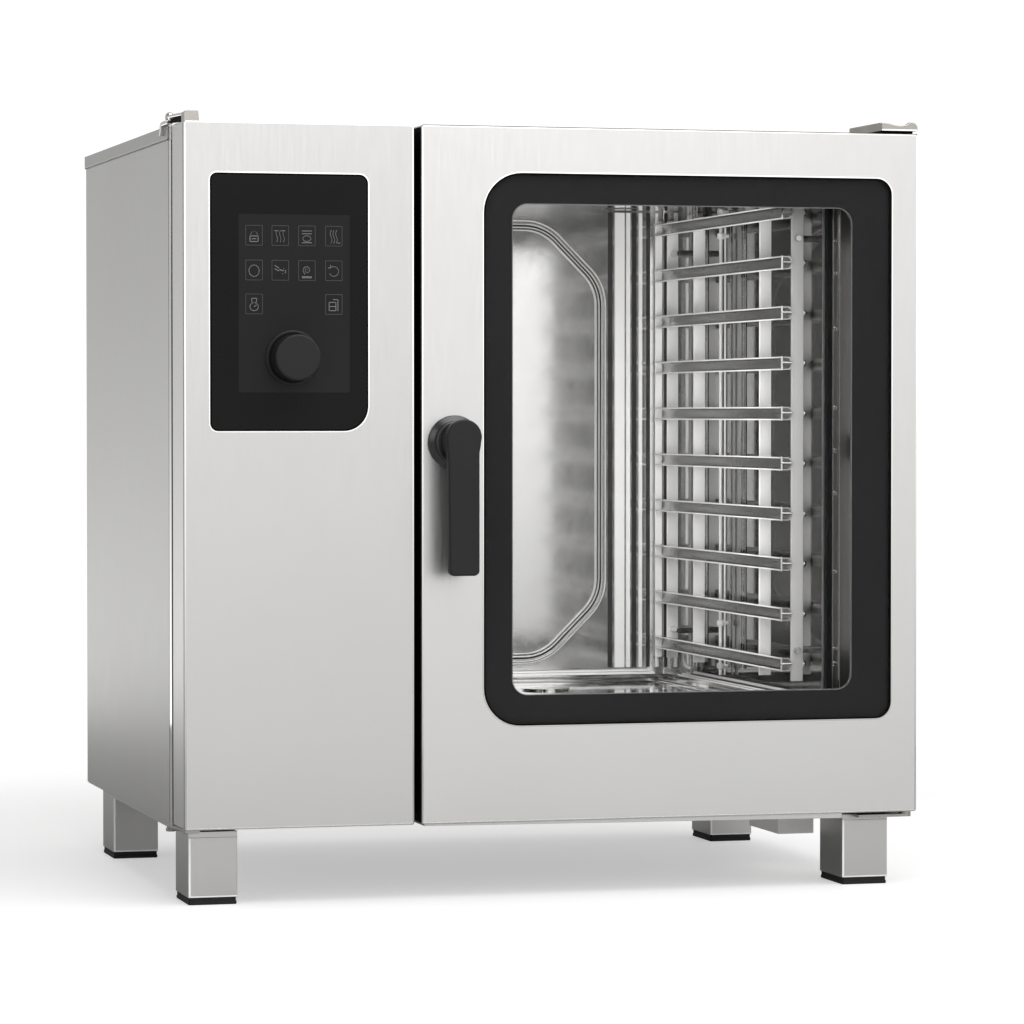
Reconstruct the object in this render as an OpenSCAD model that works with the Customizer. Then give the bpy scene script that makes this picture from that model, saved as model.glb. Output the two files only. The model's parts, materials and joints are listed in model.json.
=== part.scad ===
/* [Cabinet] */
// Width of the cabinet across the front
unit_w = 1120; // [1110:1:1130]
// Depth from the door's front face to the rear panel
unit_d = 862; // [856:1:870]
// Height of the top cover above the floor
unit_h = 1131; // [1128:1:1136]
// Height of the underside of the door and the control panel above the floor
front_z = 111; // [111:0.5:113]
// Thickness of the stainless sheet
sheet = 1.5; // [1.2:0.1:1.6]
// Depth of the two front modules, the door and the control panel
front_t = 88; // [86:0.5:88.5]
// Gap behind the front modules, which the gasket fills
front_gap = 10; // [10:0.5:12]

/* [Control panel] */
// Width of the control panel, on the left of the door
panel_w = 340; // [336:1:341]
// Gap between the control panel and the door
split_gap = 11; // [11:0.5:12]
// Radius of the control dial
dial_r = 33.5; // [28:0.5:33.8]
// Travel of the dial when it is pressed
dial_press = 1.5; // [1:0.1:1.5]

/* [Door] */
// Thickness of each glass pane
pane_t = 6; // [5:0.5:6]
// Width of the black border printed round the viewing window
border_w = 44; // [36:1:48]
// Radius of the handle's spindle
spindle_r = 8; // [7:0.5:8]
// Reach of the handle's lever below its spindle
lever_reach = 193; // [150:1:200]
// Radius of the hinge pins of the door
door_pin_r = 5; // [4:0.5:5]

/* [Cavity] */
// Number of shelf levels
shelf_count = 10; // [8:1:10]
// Height from one shelf level to the next
shelf_pitch = 76.5; // [70:0.5:76.5]
// Distance between the webs of a left and a right shelf rail
shelf_span = 533; // [533:0.5:534]
// Outer radius of the fan wheel
fan_r = 165; // [140:1:165]
// Number of fan blades
blade_count = 9; // [6:1:12]

/* [Legs] */
// Width of the leg tubes
leg_side = 72; // [66:1:72]
// Height of the adjustable foot pads
pad_h = 10; // [9:0.5:10]
// Radius of the threaded stem of each foot
stem_r = 8; // [6:0.5:8]

/* [Connections] */
// Outer radius of the drain pipe
drain_r = 25; // [25:0.5:27]
// Outer radius of the vent pipe on the cover
vent_r = 30; // [28:0.5:30]
// Outer radius of the water inlet threads
inlet_r = 13.2; // [13.2]
// Inner radius of the cable gland
gland_bore_r = 9; // [8:0.5:9]

/* [Hidden] */
$fn = 64;

// Everything below is measured from the cabinet's lower left front corner: x from its left side,
// y from the front faces towards the rear, z from the floor. placed() then shifts it, so that the
// origin is the middle of the whole oven's footprint.
steel = [0.78, 0.78, 0.77];
polished = [0.86, 0.86, 0.85];
dark = [0.10, 0.10, 0.11];
rubber = [0.05, 0.05, 0.05];
clear_glass = [0.75, 0.85, 0.85, 0.3];

door_x = panel_w + split_gap;
frame_y = front_t + front_gap;
base_z = front_z - 5;
shell_z = front_z - 3;
run_fit = 0.05;

// Skin of the cabinet
cover_lip = 19;
cover_t = 2;
side_y = frame_y + 18.5;
frame_return = 15;
service_x = [40, 240];
service_z = [150, 1090];

// Legs
leg_x = [10.6, 1012];
leg_y = [29, unit_d - 190];
leg_deep = leg_side + 28;
inlet_box_x = [970, 1029];
inlet_box_y = [205, 345];
inlet_box_z = 60;
beam_t = 8;
leg_top = base_z - beam_t;
pad_inset = 0.5;
sleeve_z = 44;

// Control panel hinge, at the panel's rear left corner
panel_axis = [-3.3, front_t + 3];
knuckle_r = 6.4;
panel_pin_r = 3.5;

// Door hinge, near the door's front right corner
door_axis = [unit_w - 13, 15];
bush_r = 9;
bracket_z = unit_h + 4.5;

// Handle
handle_at = [400, 669];
rosette_r = 38.5;
lever_front = -60;
lever_w = 49.5;
lever_back = -22;
hook_y = [64, 74];
striker_reach = 36;
striker_r = 4;

// Control glass, dial and keys
glass_x = [38.3, 271.1];
glass_z = [686, 1057];
glass_proud = 1;
dial_at = [159.4, 791.6];
dial_front = -40;
dial_gap = 3.4;
dial_shaft_r = 3;
board_y = 20;

// Window of the door
win_x = [445, 1078.4];
win_z = [252.8, 1063.3];
win_r = [56, 25, 24, 58];
hinge_side_extra = 16.7;
tunnel_x = [449, 1076];
tunnel_z = [257, 1060];
view_x = [462, 1064];
view_z = [268, 1050];

// Cavity
cav_x = [268, 1004];
cav_y = [frame_y + sheet, 790];
cav_z = [276, 1050];
mouth_x = 384;
cove_r = 72;
tray_x = [410, 965];
tray_y = [140, 750];
baffle_x = 372;
baffle_y = [120, 770];
baffle_z = [cav_z[0] + 20, cav_z[1] - 20];
crest = [[425, 856], [302, 1025]];
crest_cut = 100;
wool_t = 40;

// Shelf racks
rail_top = 1027.3;
rail_h = 20;
rail_w = 18;
rail_y = [115, 765];
rack_mid = 693.5;
post_w = 19;
post_t = 4;
peg_r = 5;
rack_lift = 12;
post_at = [rail_y[0] + 4, 270, 606, rail_y[1] - 14];
peg_z = [cav_z[0] + 74, cav_z[1] - 72];
arm_y = [post_at[0] + 14, cav_y[1] - cove_r - 6];
peg_y = [[post_at[0] - 6, arm_y[0]], [arm_y[1], post_at[3] + 10]];

// Fan, heater and motor
fan_at = [440, 656];
fan_x = [292, 350];
hub_r = 24;
shaft_r = 9;
motor_r = 76;
coil_r = 205;
tube_r = 4.2;
terminal_r = 3.4;
boiler_at = [130, 620];
boiler_r = 70;
steam_z = 480;
steam_r = 12;
coil_ends = [for (a = [168, 192]) [fan_at[0] + coil_r * cos(a), fan_at[1] + coil_r * sin(a)]];

// Rear connections
rear_y = unit_d + cover_t;
spout = 25;
drain_z = 168;
drain_well = [696, 560];
vent_at = [860, 690];
vent_top = unit_h + 32;
inlet_at = [[120, 190], [180, 190]];
gland_at = [80, 300];

// Extent of the whole oven, for the origin
x_lo = panel_axis[0] - knuckle_r;
x_hi = unit_w + cover_t;
y_lo = lever_front;
y_hi = rear_y + spout;

module placed() translate([-(x_lo + x_hi) / 2, -(y_lo + y_hi) / 2, 0]) children();

// A box between two places along each axis
module block(x, y, z) translate([x[0], y[0], z[0]]) cube([x[1] - x[0], y[1] - y[0], z[1] - z[0]]);

// A round bar along x, y or z, between two places
module bar_x(x, y, z, r) translate([x[0], y, z]) rotate([0, 90, 0]) cylinder(r = r, h = x[1] - x[0]);
module bar_y(x, y, z, r) translate([x, y[0], z]) rotate([-90, 0, 0]) cylinder(r = r, h = y[1] - y[0]);
module bar_z(x, y, z, r) translate([x, y, z[0]]) cylinder(r = r, h = z[1] - z[0]);

// A drawing in x and z, given its thickness along y
module facing(y) translate([0, y[1], 0]) rotate([90, 0, 0]) linear_extrude(y[1] - y[0]) children();

// A rectangle with a corner radius each: lower left, lower right, upper right, upper left
module rounded(x, z, r) {
    corners = [[x[0] + r[0], z[0] + r[0]], [x[1] - r[1], z[0] + r[1]],
               [x[1] - r[2], z[1] - r[2]], [x[0] + r[3], z[1] - r[3]]];
    polygon([[corners[0][0], z[0]], [corners[1][0], z[0]], [x[1], corners[1][1]], [x[1], corners[2][1]],
             [corners[2][0], z[1]], [corners[3][0], z[1]], [x[0], corners[3][1]], [x[0], corners[0][1]]]);
    for (i = [0:3]) translate(corners[i]) circle(r[i]);
}

function grown(span, by) = [span[0] - by, span[1] + by];

// A frame: an outer box less an inner one that runs right through it along y
module ring_box(x, y, z, t) difference() {
    block(x, y, z);
    block([x[0] + t, x[1] - t], grown(y, 1), [z[0] + t, z[1] - t]);
}

// ---- Legs and feet

// A box tube with a sleeve under its top plate for the foot's stem
module leg(x, y) difference() {
    union() {
        difference() {
            block([x, x + leg_side], [y, y + leg_deep], [pad_h + 0.5, leg_top]);
            block([x + 2, x + leg_side - 2], [y + 2, y + leg_deep - 2], [pad_h, leg_top - 4]);
        }
        bar_z(x + leg_side / 2, y + leg_deep / 2, [sleeve_z, leg_top - 2], stem_r + 6);
    }
    bar_z(x + leg_side / 2, y + leg_deep / 2, [sleeve_z - 1, leg_top + 1], stem_r + run_fit);
}

module foot(x, y) {
    block([x + pad_inset, x + leg_side - pad_inset], [y + pad_inset, y + leg_deep - pad_inset],
        [0, pad_h * 0.55]);
    block([x + 3.5, x + leg_side - 3.5], [y + 3.5, y + leg_deep - 3.5], [pad_h * 0.55, pad_h + 4]);
    bar_z(x + leg_side / 2, y + leg_deep / 2, [pad_h + 4, leg_top + 4], stem_r);
}

module legs() color(steel) placed() for (x = leg_x, y = leg_y) leg(x, y);
module foot_front_left() color(rubber) placed() foot(leg_x[0], leg_y[0]);
module foot_front_right() color(rubber) placed() foot(leg_x[1], leg_y[0]);
module foot_rear_left() color(rubber) placed() foot(leg_x[0], leg_y[1]);
module foot_rear_right() color(rubber) placed() foot(leg_x[1], leg_y[1]);

// Two beams that carry the cabinet on its legs
module base_beams() color(steel) placed() for (x = leg_x) difference() {
    block([x, x + leg_side], [leg_y[0], leg_y[1] + leg_deep], [leg_top, base_z]);
    for (y = leg_y) bar_z(x + leg_side / 2, y + leg_deep / 2, [leg_top - 1, base_z + 1], stem_r + 0.5);
}

// ---- Cabinet

module bottom_pan() color(steel) placed()
    block([sheet, unit_w - sheet], [frame_y + sheet, unit_d - sheet], [base_z, base_z + sheet]);

// Front of the cabinet, with the mouth of the cavity and the opening of the technical compartment
module front_frame() color(steel) placed() {
    difference() {
        block([0, unit_w], [frame_y, frame_y + sheet], [shell_z, unit_h]);
        block([mouth_x, cav_x[1]], [frame_y - 1, frame_y + 3], cav_z);
        block(service_x, [frame_y - 1, frame_y + 3], service_z);
    }
    for (x = [0, unit_w - sheet])
        block([x, x + sheet], [frame_y + sheet, frame_y + frame_return], [shell_z, unit_h - sheet]);
    block([0, unit_w], [frame_y + sheet, side_y], [unit_h - sheet, unit_h]);
}

module side_panel(x) block([x, x + sheet], [side_y, unit_d - sheet], [shell_z, unit_h - sheet]);
module side_panel_left() color(steel) placed() side_panel(0);
module side_panel_right() color(steel) placed() side_panel(unit_w - sheet);

module rear_panel() color(steel) placed() difference() {
    block([0, unit_w], [unit_d - sheet, unit_d], [shell_z, unit_h - sheet]);
    bar_y(drain_well[0], [unit_d - 3, unit_d + 1], drain_z, drain_r + 1);
    for (p = inlet_at) bar_y(p[0], [unit_d - 3, unit_d + 1], p[1], inlet_r + 0.5);
    bar_y(gland_at[0], [unit_d - 3, unit_d + 1], gland_at[1], 16);
    for (col = [0:1], row = [0:8]) block([300 + 260 * col, 500 + 260 * col],
        [unit_d - 3, unit_d + 1], [880 + 18 * row, 886 + 18 * row]);
}

// Lid of the cabinet, with a lip down the sides and the rear
module top_cover() color(steel) placed() difference() {
    block([-cover_t, unit_w + cover_t], [side_y, rear_y], [unit_h - cover_lip, unit_h]);
    block([0, unit_w], [side_y - 1, unit_d], [unit_h - cover_lip - 1, unit_h - sheet]);
    bar_z(vent_at[0], vent_at[1], [unit_h - 3, unit_h + 1], vent_r + 1);
}

// Box under the cabinet that takes the cooling air in, with its neck up to the bottom pan
module service_box() color(steel) placed() {
    block(inlet_box_x, inlet_box_y, [inlet_box_z, leg_top - 1]);
    block([inlet_box_x[0], leg_x[1] - 4], inlet_box_y, [leg_top - 2, base_z]);
}

// ---- Cavity

module cavity_walls() color(polished) placed() {
    block([cav_x[1], cav_x[1] + sheet], [cav_y[0], cav_y[1] - cove_r], cav_z);
    difference() {
        block([cav_x[0] - sheet, cav_x[0]], [cav_y[0], cav_y[1]], cav_z);
        bar_x([cav_x[0] - 3, cav_x[0] + 1], fan_at[0], fan_at[1], 16);
        for (end = coil_ends) bar_x([cav_x[0] - 3, cav_x[0] + 1], end[0], end[1], tube_r + 1);
        bar_x([cav_x[0] - 3, cav_x[0] + 1], boiler_at[1], steam_z, steam_r + 1);
    }
}

// The outline of the raised crest on the rear wall, grown by a margin
module crest_outline(by) {
    x = grown(crest[0], by);
    z = grown(crest[1], by);
    cut = crest_cut + by * 0.6;
    polygon([[x[0] + cut, z[0]], [x[1] - cut, z[0]], [x[1], z[0] + cut], [x[1], z[1] - cut],
             [x[1] - cut, z[1]], [x[0] + cut, z[1]], [x[0], z[1] - cut], [x[0], z[0] + cut]]);
}

// Rear wall with its pressed crest and the rounded corner into the right wall
module cavity_rear() color(polished) placed() {
    block([cav_x[0] - sheet, cav_x[1] - cove_r], [cav_y[1], cav_y[1] + sheet], cav_z);
    facing([cav_y[1] - 5, cav_y[1]]) difference() {
        crest_outline(8);
        crest_outline(-8);
    }
    translate([cav_x[1] - cove_r, cav_y[1] - cove_r, cav_z[0]]) intersection() {
        difference() {
            cylinder(r = cove_r + sheet, h = cav_z[1] - cav_z[0]);
            translate([0, 0, -1]) cylinder(r = cove_r, h = cav_z[1] - cav_z[0] + 2);
        }
        cube([cove_r * 2, cove_r * 2, cav_z[1] - cav_z[0]]);
    }
}

module cavity_ceiling() color(polished) placed() difference() {
    block(grown(cav_x, sheet), [cav_y[0], cav_y[1] + sheet], [cav_z[1], cav_z[1] + sheet]);
    bar_z(vent_at[0], vent_at[1], [cav_z[1] - 1, cav_z[1] + 3], vent_r - 1);
}

// Floor pressed as a tray that falls in steps to the drain
module cavity_floor() color(polished) placed() difference() {
    union() {
        block(grown(cav_x, sheet), [cav_y[0], cav_y[1] + sheet], [cav_z[0] - sheet, cav_z[0]]);
        block(tray_x, tray_y, [cav_z[0] - 12, cav_z[0] - sheet]);
    }
    block(grown(tray_x, -2), grown(tray_y, -2), [cav_z[0] - 6, cav_z[0] + 1]);
    block(grown(tray_x, -30), grown(tray_y, -30), [cav_z[0] - 10, cav_z[0] + 1]);
    bar_z(drain_well[0], drain_well[1], [cav_z[0] - 20, cav_z[0] + 1], drain_r - 2);
}

module drain_strainer() color(polished) placed() difference() {
    bar_z(drain_well[0], drain_well[1], [cav_z[0] - 10, cav_z[0] - 7], drain_r + 14);
    for (a = [0:30:330]) translate([drain_well[0], drain_well[1], cav_z[0] - 11]) rotate([0, 0, a])
        translate([16, 0, 0]) cylinder(r = 2.5, h = 5);
}

// Mineral wool round the cavity
module insulation() color([0.82, 0.78, 0.62]) placed() {
    out_x = [cav_x[0] - sheet - wool_t, cav_x[1] + sheet + wool_t];
    out_z = [cav_z[0] - 12 - wool_t, cav_z[1] + sheet + wool_t];
    wool_y = [cav_y[0] + 0.5, cav_y[1] + sheet + wool_t];
    difference() {
        block(out_x, wool_y, out_z);
        block(grown(cav_x, sheet + 0.5), [cav_y[0] - 1, cav_y[1] + sheet + 0.5],
              [cav_z[0] - 12.5, cav_z[1] + sheet + 0.5]);
        bar_x([out_x[0] - 1, cav_x[0]], fan_at[0], fan_at[1], motor_r + 24);
        for (end = coil_ends) bar_x([out_x[0] - 1, cav_x[0]], end[0], end[1], tube_r + 2);
        bar_x([out_x[0] - 1, cav_x[0]], boiler_at[1], steam_z, steam_r + 3);
        bar_z(drain_well[0], drain_well[1], [out_z[0] - 1, cav_z[0]], drain_r + 2);
        bar_z(vent_at[0], vent_at[1], [cav_z[1], out_z[1] + 1], vent_r + 2);
    }
}

// Sheet in front of the fan, with the air intake in its middle
module air_baffle() color(polished) placed() {
    difference() {
        block([baffle_x, baffle_x + sheet], baffle_y, baffle_z);
        for (row = [-6:6]) {
            half = sqrt(150 * 150 - pow(row * 21, 2)) - 8;
            block([baffle_x - 1, baffle_x + 3], [fan_at[0] - half, fan_at[0] - 3],
                  [fan_at[1] + row * 21 - 6, fan_at[1] + row * 21 + 6]);
            block([baffle_x - 1, baffle_x + 3], [fan_at[0] + 3, fan_at[0] + half],
                  [fan_at[1] + row * 21 - 6, fan_at[1] + row * 21 + 6]);
        }
        for (y = [baffle_y[0] + 18, baffle_y[1] - 18], z = [baffle_z[0] + 18, baffle_z[1] - 18])
            bar_x([baffle_x - 1, baffle_x + 3], y, z, 4.5);
    }
    for (y = [baffle_y[0] + 18, baffle_y[1] - 18], z = [baffle_z[0] + 18, baffle_z[1] - 18])
        difference() {
            bar_x([cav_x[0], baffle_x], y, z, 9);
            bar_x([baffle_x - 20, baffle_x + 1], y, z, 4.5);
        }
}

// Quarter-turn knobs that hold the baffle
module baffle_knobs() color(steel) placed()
    for (y = [baffle_y[0] + 18, baffle_y[1] - 18], z = [baffle_z[0] + 18, baffle_z[1] - 18]) {
        bar_x([baffle_x - 12, baffle_x + sheet], y, z, 4.4);
        bar_x([baffle_x + sheet, baffle_x + 9], y, z, 10);
    }

// Three heater rings round the fan wheel on three combs, with two ends out through the wall
module heating_coil() color([0.45, 0.42, 0.40]) placed() {
    for (x = [300, 320, 340]) translate([x, fan_at[0], fan_at[1]]) rotate([0, 90, 0])
        rotate_extrude() translate([coil_r, 0]) circle(tube_r);
    for (a = [0, 120, 240]) translate([0, fan_at[0], fan_at[1]]) rotate([a, 0, 0])
        block([294, 346], [-1.5, 1.5], [coil_r - 8, coil_r + 8]);
    for (end = coil_ends) bar_x([cav_x[0] - 40, 300], end[0], end[1], terminal_r);
}

module fan_motor() color([0.32, 0.34, 0.38]) placed() difference() {
    union() {
        bar_x([cav_x[0] - sheet - 10, cav_x[0] - sheet], fan_at[0], fan_at[1], motor_r + 18);
        bar_x([cav_x[0] - 150, cav_x[0] - sheet - 10], fan_at[0], fan_at[1], motor_r - 6);
        for (i = [0:6]) bar_x([cav_x[0] - 140 + 18 * i, cav_x[0] - 134 + 18 * i],
                              fan_at[0], fan_at[1], motor_r);
    }
    bar_x([cav_x[0] - 120, cav_x[0]], fan_at[0], fan_at[1], shaft_r + run_fit);
}

// Radial fan wheel on its shaft: a back plate, flat blades and a front ring
module fan_wheel() color([0.62, 0.62, 0.61]) placed() {
    bar_x([cav_x[0] - 110, fan_x[0]], fan_at[0], fan_at[1], shaft_r);
    bar_x([fan_x[0] - 12, fan_x[0]], fan_at[0], fan_at[1], hub_r);
    bar_x([fan_x[0], fan_x[0] + 2], fan_at[0], fan_at[1], fan_r);
    bar_x([fan_x[0] + 2, fan_x[0] + 30], fan_at[0], fan_at[1], hub_r);
    for (i = [0:blade_count - 1]) translate([fan_x[0] + 2, fan_at[0], fan_at[1]])
        rotate([360 / blade_count * i, 0, 0]) translate([0, fan_r - 58, -1])
            cube([fan_x[1] - fan_x[0] - 4, 56, 2]);
    difference() {
        bar_x([fan_x[1] - 2, fan_x[1]], fan_at[0], fan_at[1], fan_r);
        bar_x([fan_x[1] - 3, fan_x[1] + 1], fan_at[0], fan_at[1], fan_r - 46);
    }
}

// Hollow boiler in the technical compartment and its steam pipe into the fan chamber
module steam_generator() color([0.70, 0.70, 0.69]) placed() difference() {
    union() {
        bar_z(boiler_at[0], boiler_at[1], [base_z + sheet, 440], boiler_r);
        bar_z(boiler_at[0], boiler_at[1], [440, 446], boiler_r + 8);
        bar_z(boiler_at[0], boiler_at[1], [446, steam_z], steam_r);
        bar_x([boiler_at[0] - steam_r, cav_x[0] + 6], boiler_at[1], steam_z, steam_r);
    }
    bar_z(boiler_at[0], boiler_at[1], [base_z + 4, 437], boiler_r - 2);
    bar_z(boiler_at[0], boiler_at[1], [436, steam_z], steam_r - 2);
    bar_x([boiler_at[0], cav_x[0] + 7], boiler_at[1], steam_z, steam_r - 2.5);
}

// Tray of switchgear on the left of the technical compartment
module power_tray() color([0.55, 0.57, 0.58]) placed() {
    block([sheet, 8], [150, 520], [620, 1080]);
    for (i = [0:4]) block([8, 68], [170 + 62 * i, 218 + 62 * i], [960, 1050]);
    for (i = [0:2]) block([8, 58], [180 + 100 * i, 260 + 100 * i], [680, 860]);
}

// ---- Connections at the rear and on top

module drain_pipe() color([0.62, 0.62, 0.61]) placed() difference() {
    union() {
        bar_z(drain_well[0], drain_well[1], [drain_z - drain_r, cav_z[0] - 12], drain_r);
        bar_y(drain_well[0], [drain_well[1], unit_d - 10], drain_z, drain_r - 0.5);
        bar_y(drain_well[0], [unit_d - 10, y_hi], drain_z, drain_r);
    }
    bar_z(drain_well[0], drain_well[1], [drain_z, cav_z[0]], drain_r - 2);
    bar_y(drain_well[0], [drain_well[1], y_hi + 1], drain_z, drain_r - 2);
}

module water_inlets() color([0.72, 0.60, 0.32]) placed() for (p = inlet_at) difference() {
    union() {
        bar_y(p[0], [unit_d - 50, y_hi], p[1], inlet_r);
        bar_y(p[0], [unit_d - 16, unit_d - sheet], p[1], inlet_r + 6);
        bar_y(p[0], [unit_d, unit_d + 5], p[1], inlet_r + 6);
    }
    bar_y(p[0], [unit_d - 51, y_hi + 1], p[1], 8);
}

module vent_pipe() color(steel) placed() difference() {
    union() {
        bar_z(vent_at[0], vent_at[1], [cav_z[1] + sheet, vent_top], vent_r);
        bar_z(vent_at[0], vent_at[1], [unit_h, unit_h + 3], vent_r + 12);
    }
    bar_z(vent_at[0], vent_at[1], [cav_z[1], vent_top + 1], vent_r - 1.5);
}

module cable_gland() color(dark) placed() difference() {
    union() {
        bar_y(gland_at[0], [unit_d - 20, unit_d + 20], gland_at[1], 15.5);
        bar_y(gland_at[0], [unit_d, unit_d + 8], gland_at[1], 21);
        bar_y(gland_at[0], [unit_d - 10, unit_d - sheet], gland_at[1], 21);
    }
    bar_y(gland_at[0], [unit_d - 21, unit_d + 21], gland_at[1], gland_bore_r);
}

module door_gasket() color(rubber) placed() facing([front_t + 0.5, frame_y]) difference() {
    rounded([mouth_x - 11, cav_x[1] + 13], grown(cav_z, 13), [20, 20, 20, 20]);
    rounded([mouth_x - 1, cav_x[1] + 3], grown(cav_z, 3), [12, 12, 12, 12]);
}

// ---- Shelf racks

// One rack's rails and posts, for the right side of the cavity. Each rail is a channel that is open
// towards the cavity, and it is welded to four posts.
module rack() {
    web = rack_mid + shelf_span / 2;
    for (i = [0:shelf_count - 1]) {
        top = rail_top - shelf_pitch * i;
        difference() {
            block([web - rail_w + sheet, web + sheet], rail_y, [top - rail_h, top]);
            block([web - rail_w, web], grown(rail_y, 1), [top - rail_h + sheet, top - sheet]);
        }
    }
    for (y = post_at) difference() {
        block([web + sheet, web + sheet + post_w], [y, y + post_t],
              [rail_top - shelf_pitch * (shelf_count - 1) - 36, rail_top + 6]);
        for (z = peg_z) slot_hole(web + sheet + post_w / 2, y, z);
    }
}

// A keyhole in a rack's post: the peg sits in its top end and lets the rack lift off
module slot_hole(x, y, z) {
    bar_y(x, [y - 1, y + post_t + 1], z, peg_r + 0.5);
    bar_y(x, [y - 1, y + post_t + 1], z - rack_lift, peg_r + 0.5);
    block([x - peg_r - 0.5, x + peg_r + 0.5], [y - 1, y + post_t + 1], [z - rack_lift, z]);
}

module left_handed() translate([2 * rack_mid, 0, 0]) mirror([1, 0, 0]) children();

module rack_right() color(polished) placed() rack();
module rack_left() color(polished) placed() left_handed() rack();

// Pegs that carry a rack by its posts: a stem along y through the post, on an arm from the wall
module pegs(wall) for (i = [0, 1], z = peg_z) {
    x = rack_mid + shelf_span / 2 + sheet + post_w / 2;
    bar_y(x, peg_y[i], z, peg_r);
    bar_x([x, wall], arm_y[i], z, peg_r);
}

module rack_pegs() color(steel) placed() {
    pegs(cav_x[1]);
    left_handed() pegs(2 * rack_mid - baffle_x - sheet);
}

// ---- Door hinges

module latch_striker() color(steel) placed() {
    bar_y(handle_at[0] - striker_reach, [frame_y - 38, frame_y - 3], handle_at[1], striker_r);
    block([handle_at[0] - striker_reach - 7, mouth_x - 12], [frame_y - 3, frame_y],
          grown([handle_at[1], handle_at[1]], 16));
}

// Fixed bracket over the door's upper right corner, with the pin that goes down into the door
module door_bracket_upper() color(steel) placed() {
    difference() {
        union() {
            linear_plate([[1062, 0], [unit_w, 0], [unit_w, 136], [1076, 136]], [bracket_z, bracket_z + 9]);
            block([1062, unit_w], [0, 8], [bracket_z, bracket_z + 12]);
        }
        bar_z(door_axis[0], door_axis[1], [bracket_z - 1, bracket_z + 20], door_pin_r);
    }
    linear_plate([[1074, 112], [unit_w, 112], [unit_w, 150], [1080, 150]], [unit_h, bracket_z]);
    bar_z(door_axis[0], door_axis[1], [unit_h - 24, bracket_z + 9], door_pin_r);
    bar_z(door_axis[0], door_axis[1], [bracket_z + 9, bracket_z + 14], door_pin_r + 6);
    for (y = [120, 142]) bar_z(1098, y, [bracket_z + (y < 136 ? 9 : 0), bracket_z + (y < 136 ? 13 : 4)], 6);
}

module linear_plate(outline, z) translate([0, 0, z[0]]) linear_extrude(z[1] - z[0]) polygon(outline);

// Fixed plate under the door's lower right corner, with the pin that carries the door
module door_plate_lower() color(steel) placed() {
    plate_z = [front_z - 8, front_z - 4];
    difference() {
        union() {
            block([1030, unit_w - 13], [6, leg_y[0]], plate_z);
            block([leg_x[1] + leg_side, unit_w - 4], [door_axis[1], frame_y - 1], plate_z);
            bar_z(door_axis[0], door_axis[1], plate_z, 9);
        }
        bar_z(door_axis[0], door_axis[1], [plate_z[0] - 1, plate_z[1] + 1], door_pin_r);
    }
    bar_z(door_axis[0], door_axis[1], [plate_z[0], front_z + 24], door_pin_r);
    difference() {
        bar_z(door_axis[0], door_axis[1], [plate_z[1], front_z - 0.3], bush_r);
        bar_z(door_axis[0], door_axis[1], [plate_z[0], front_z], door_pin_r);
    }
}

// ---- Control panel hinges

// Fixed strap on the cabinet's upper left edge, with an upright pin at the panel's rear corner
module panel_strap_upper() color(steel) placed() {
    block([panel_axis[0] - knuckle_r, -cover_t], [side_y + 2, side_y + 66], [unit_h - 14, unit_h + 4.5]);
    block([panel_axis[0] - knuckle_r, panel_axis[0] + knuckle_r], [panel_axis[1], side_y + 2],
          [unit_h + 0.5, unit_h + 4.5]);
    bar_z(panel_axis[0], panel_axis[1], [unit_h + 0.5, unit_h + 4.5], knuckle_r);
    bar_z(panel_axis[0], panel_axis[1], [unit_h + 4.5, unit_h + 16], panel_pin_r);
}

module panel_strap_lower() color(steel) placed() {
    plate_z = [front_z - 9, front_z - 4.5];
    block([panel_axis[0] - knuckle_r, leg_x[0]], [panel_axis[1], frame_y - 0.5], plate_z);
    bar_z(panel_axis[0], panel_axis[1], plate_z, knuckle_r);
    bar_z(panel_axis[0], panel_axis[1], [plate_z[1], front_z - 0.5], panel_pin_r);
}

// Arms above and below the panel that turn on the straps' pins
module panel_hinge_arms() color(steel) placed() {
    lug = [1.3, 23.5];
    for (z = [[unit_h + 5, unit_h + 13], [front_z - 4, front_z]]) difference() {
        union() {
            linear_plate([[lug[0], 5], [lug[1], 5], [lug[1], 24], [7, 62],
                          [panel_axis[0], panel_axis[1] + knuckle_r],
                          [panel_axis[0] - knuckle_r, panel_axis[1]], [lug[0], 40]], z);
            bar_z(panel_axis[0], panel_axis[1], z, knuckle_r);
        }
        bar_z(panel_axis[0], panel_axis[1], [z[0] - 1, z[1] + 1], panel_pin_r + run_fit);
    }
    block(lug, [5, 24], [unit_h, unit_h + 5]);
    difference() {
        bar_z(panel_axis[0], panel_axis[1], [unit_h + 13, unit_h + 18], knuckle_r);
        bar_z(panel_axis[0], panel_axis[1], [unit_h + 12, unit_h + 16.5], panel_pin_r + run_fit);
    }
}

// ---- Door

module door_skin() color(steel) placed() difference() {
    block([door_x, unit_w], [0, front_t], [front_z, unit_h]);
    block([door_x + sheet, unit_w - sheet], [sheet, front_t + 1], [front_z + sheet, unit_h - sheet]);
    facing([-1, sheet + 1]) rounded(grown(win_x, 0.6), grown(win_z, 0.6), win_r);
    bar_y(handle_at[0], [-1, 3], handle_at[1], spindle_r + 3);
    for (z = [front_z, unit_h]) bar_z(door_axis[0], door_axis[1], [z - 3, z + 3], bush_r - 2);
}

// Sheet tunnel round the window, with the rear plate of the door round its end
module door_liner() color(steel) placed() {
    rear = [front_t - sheet, front_t];
    striker_x = handle_at[0] - striker_reach;
    ring_box(tunnel_x, [9, rear[0]], tunnel_z, sheet);
    difference() {
        block([door_x + sheet, unit_w - sheet], rear, [front_z + sheet, unit_h - sheet]);
        block(view_x, grown(rear, 1), view_z);
        block(grown([striker_x, striker_x], striker_r + 5), grown(rear, 1),
              grown([handle_at[1], handle_at[1]], 14));
    }
}

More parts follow.
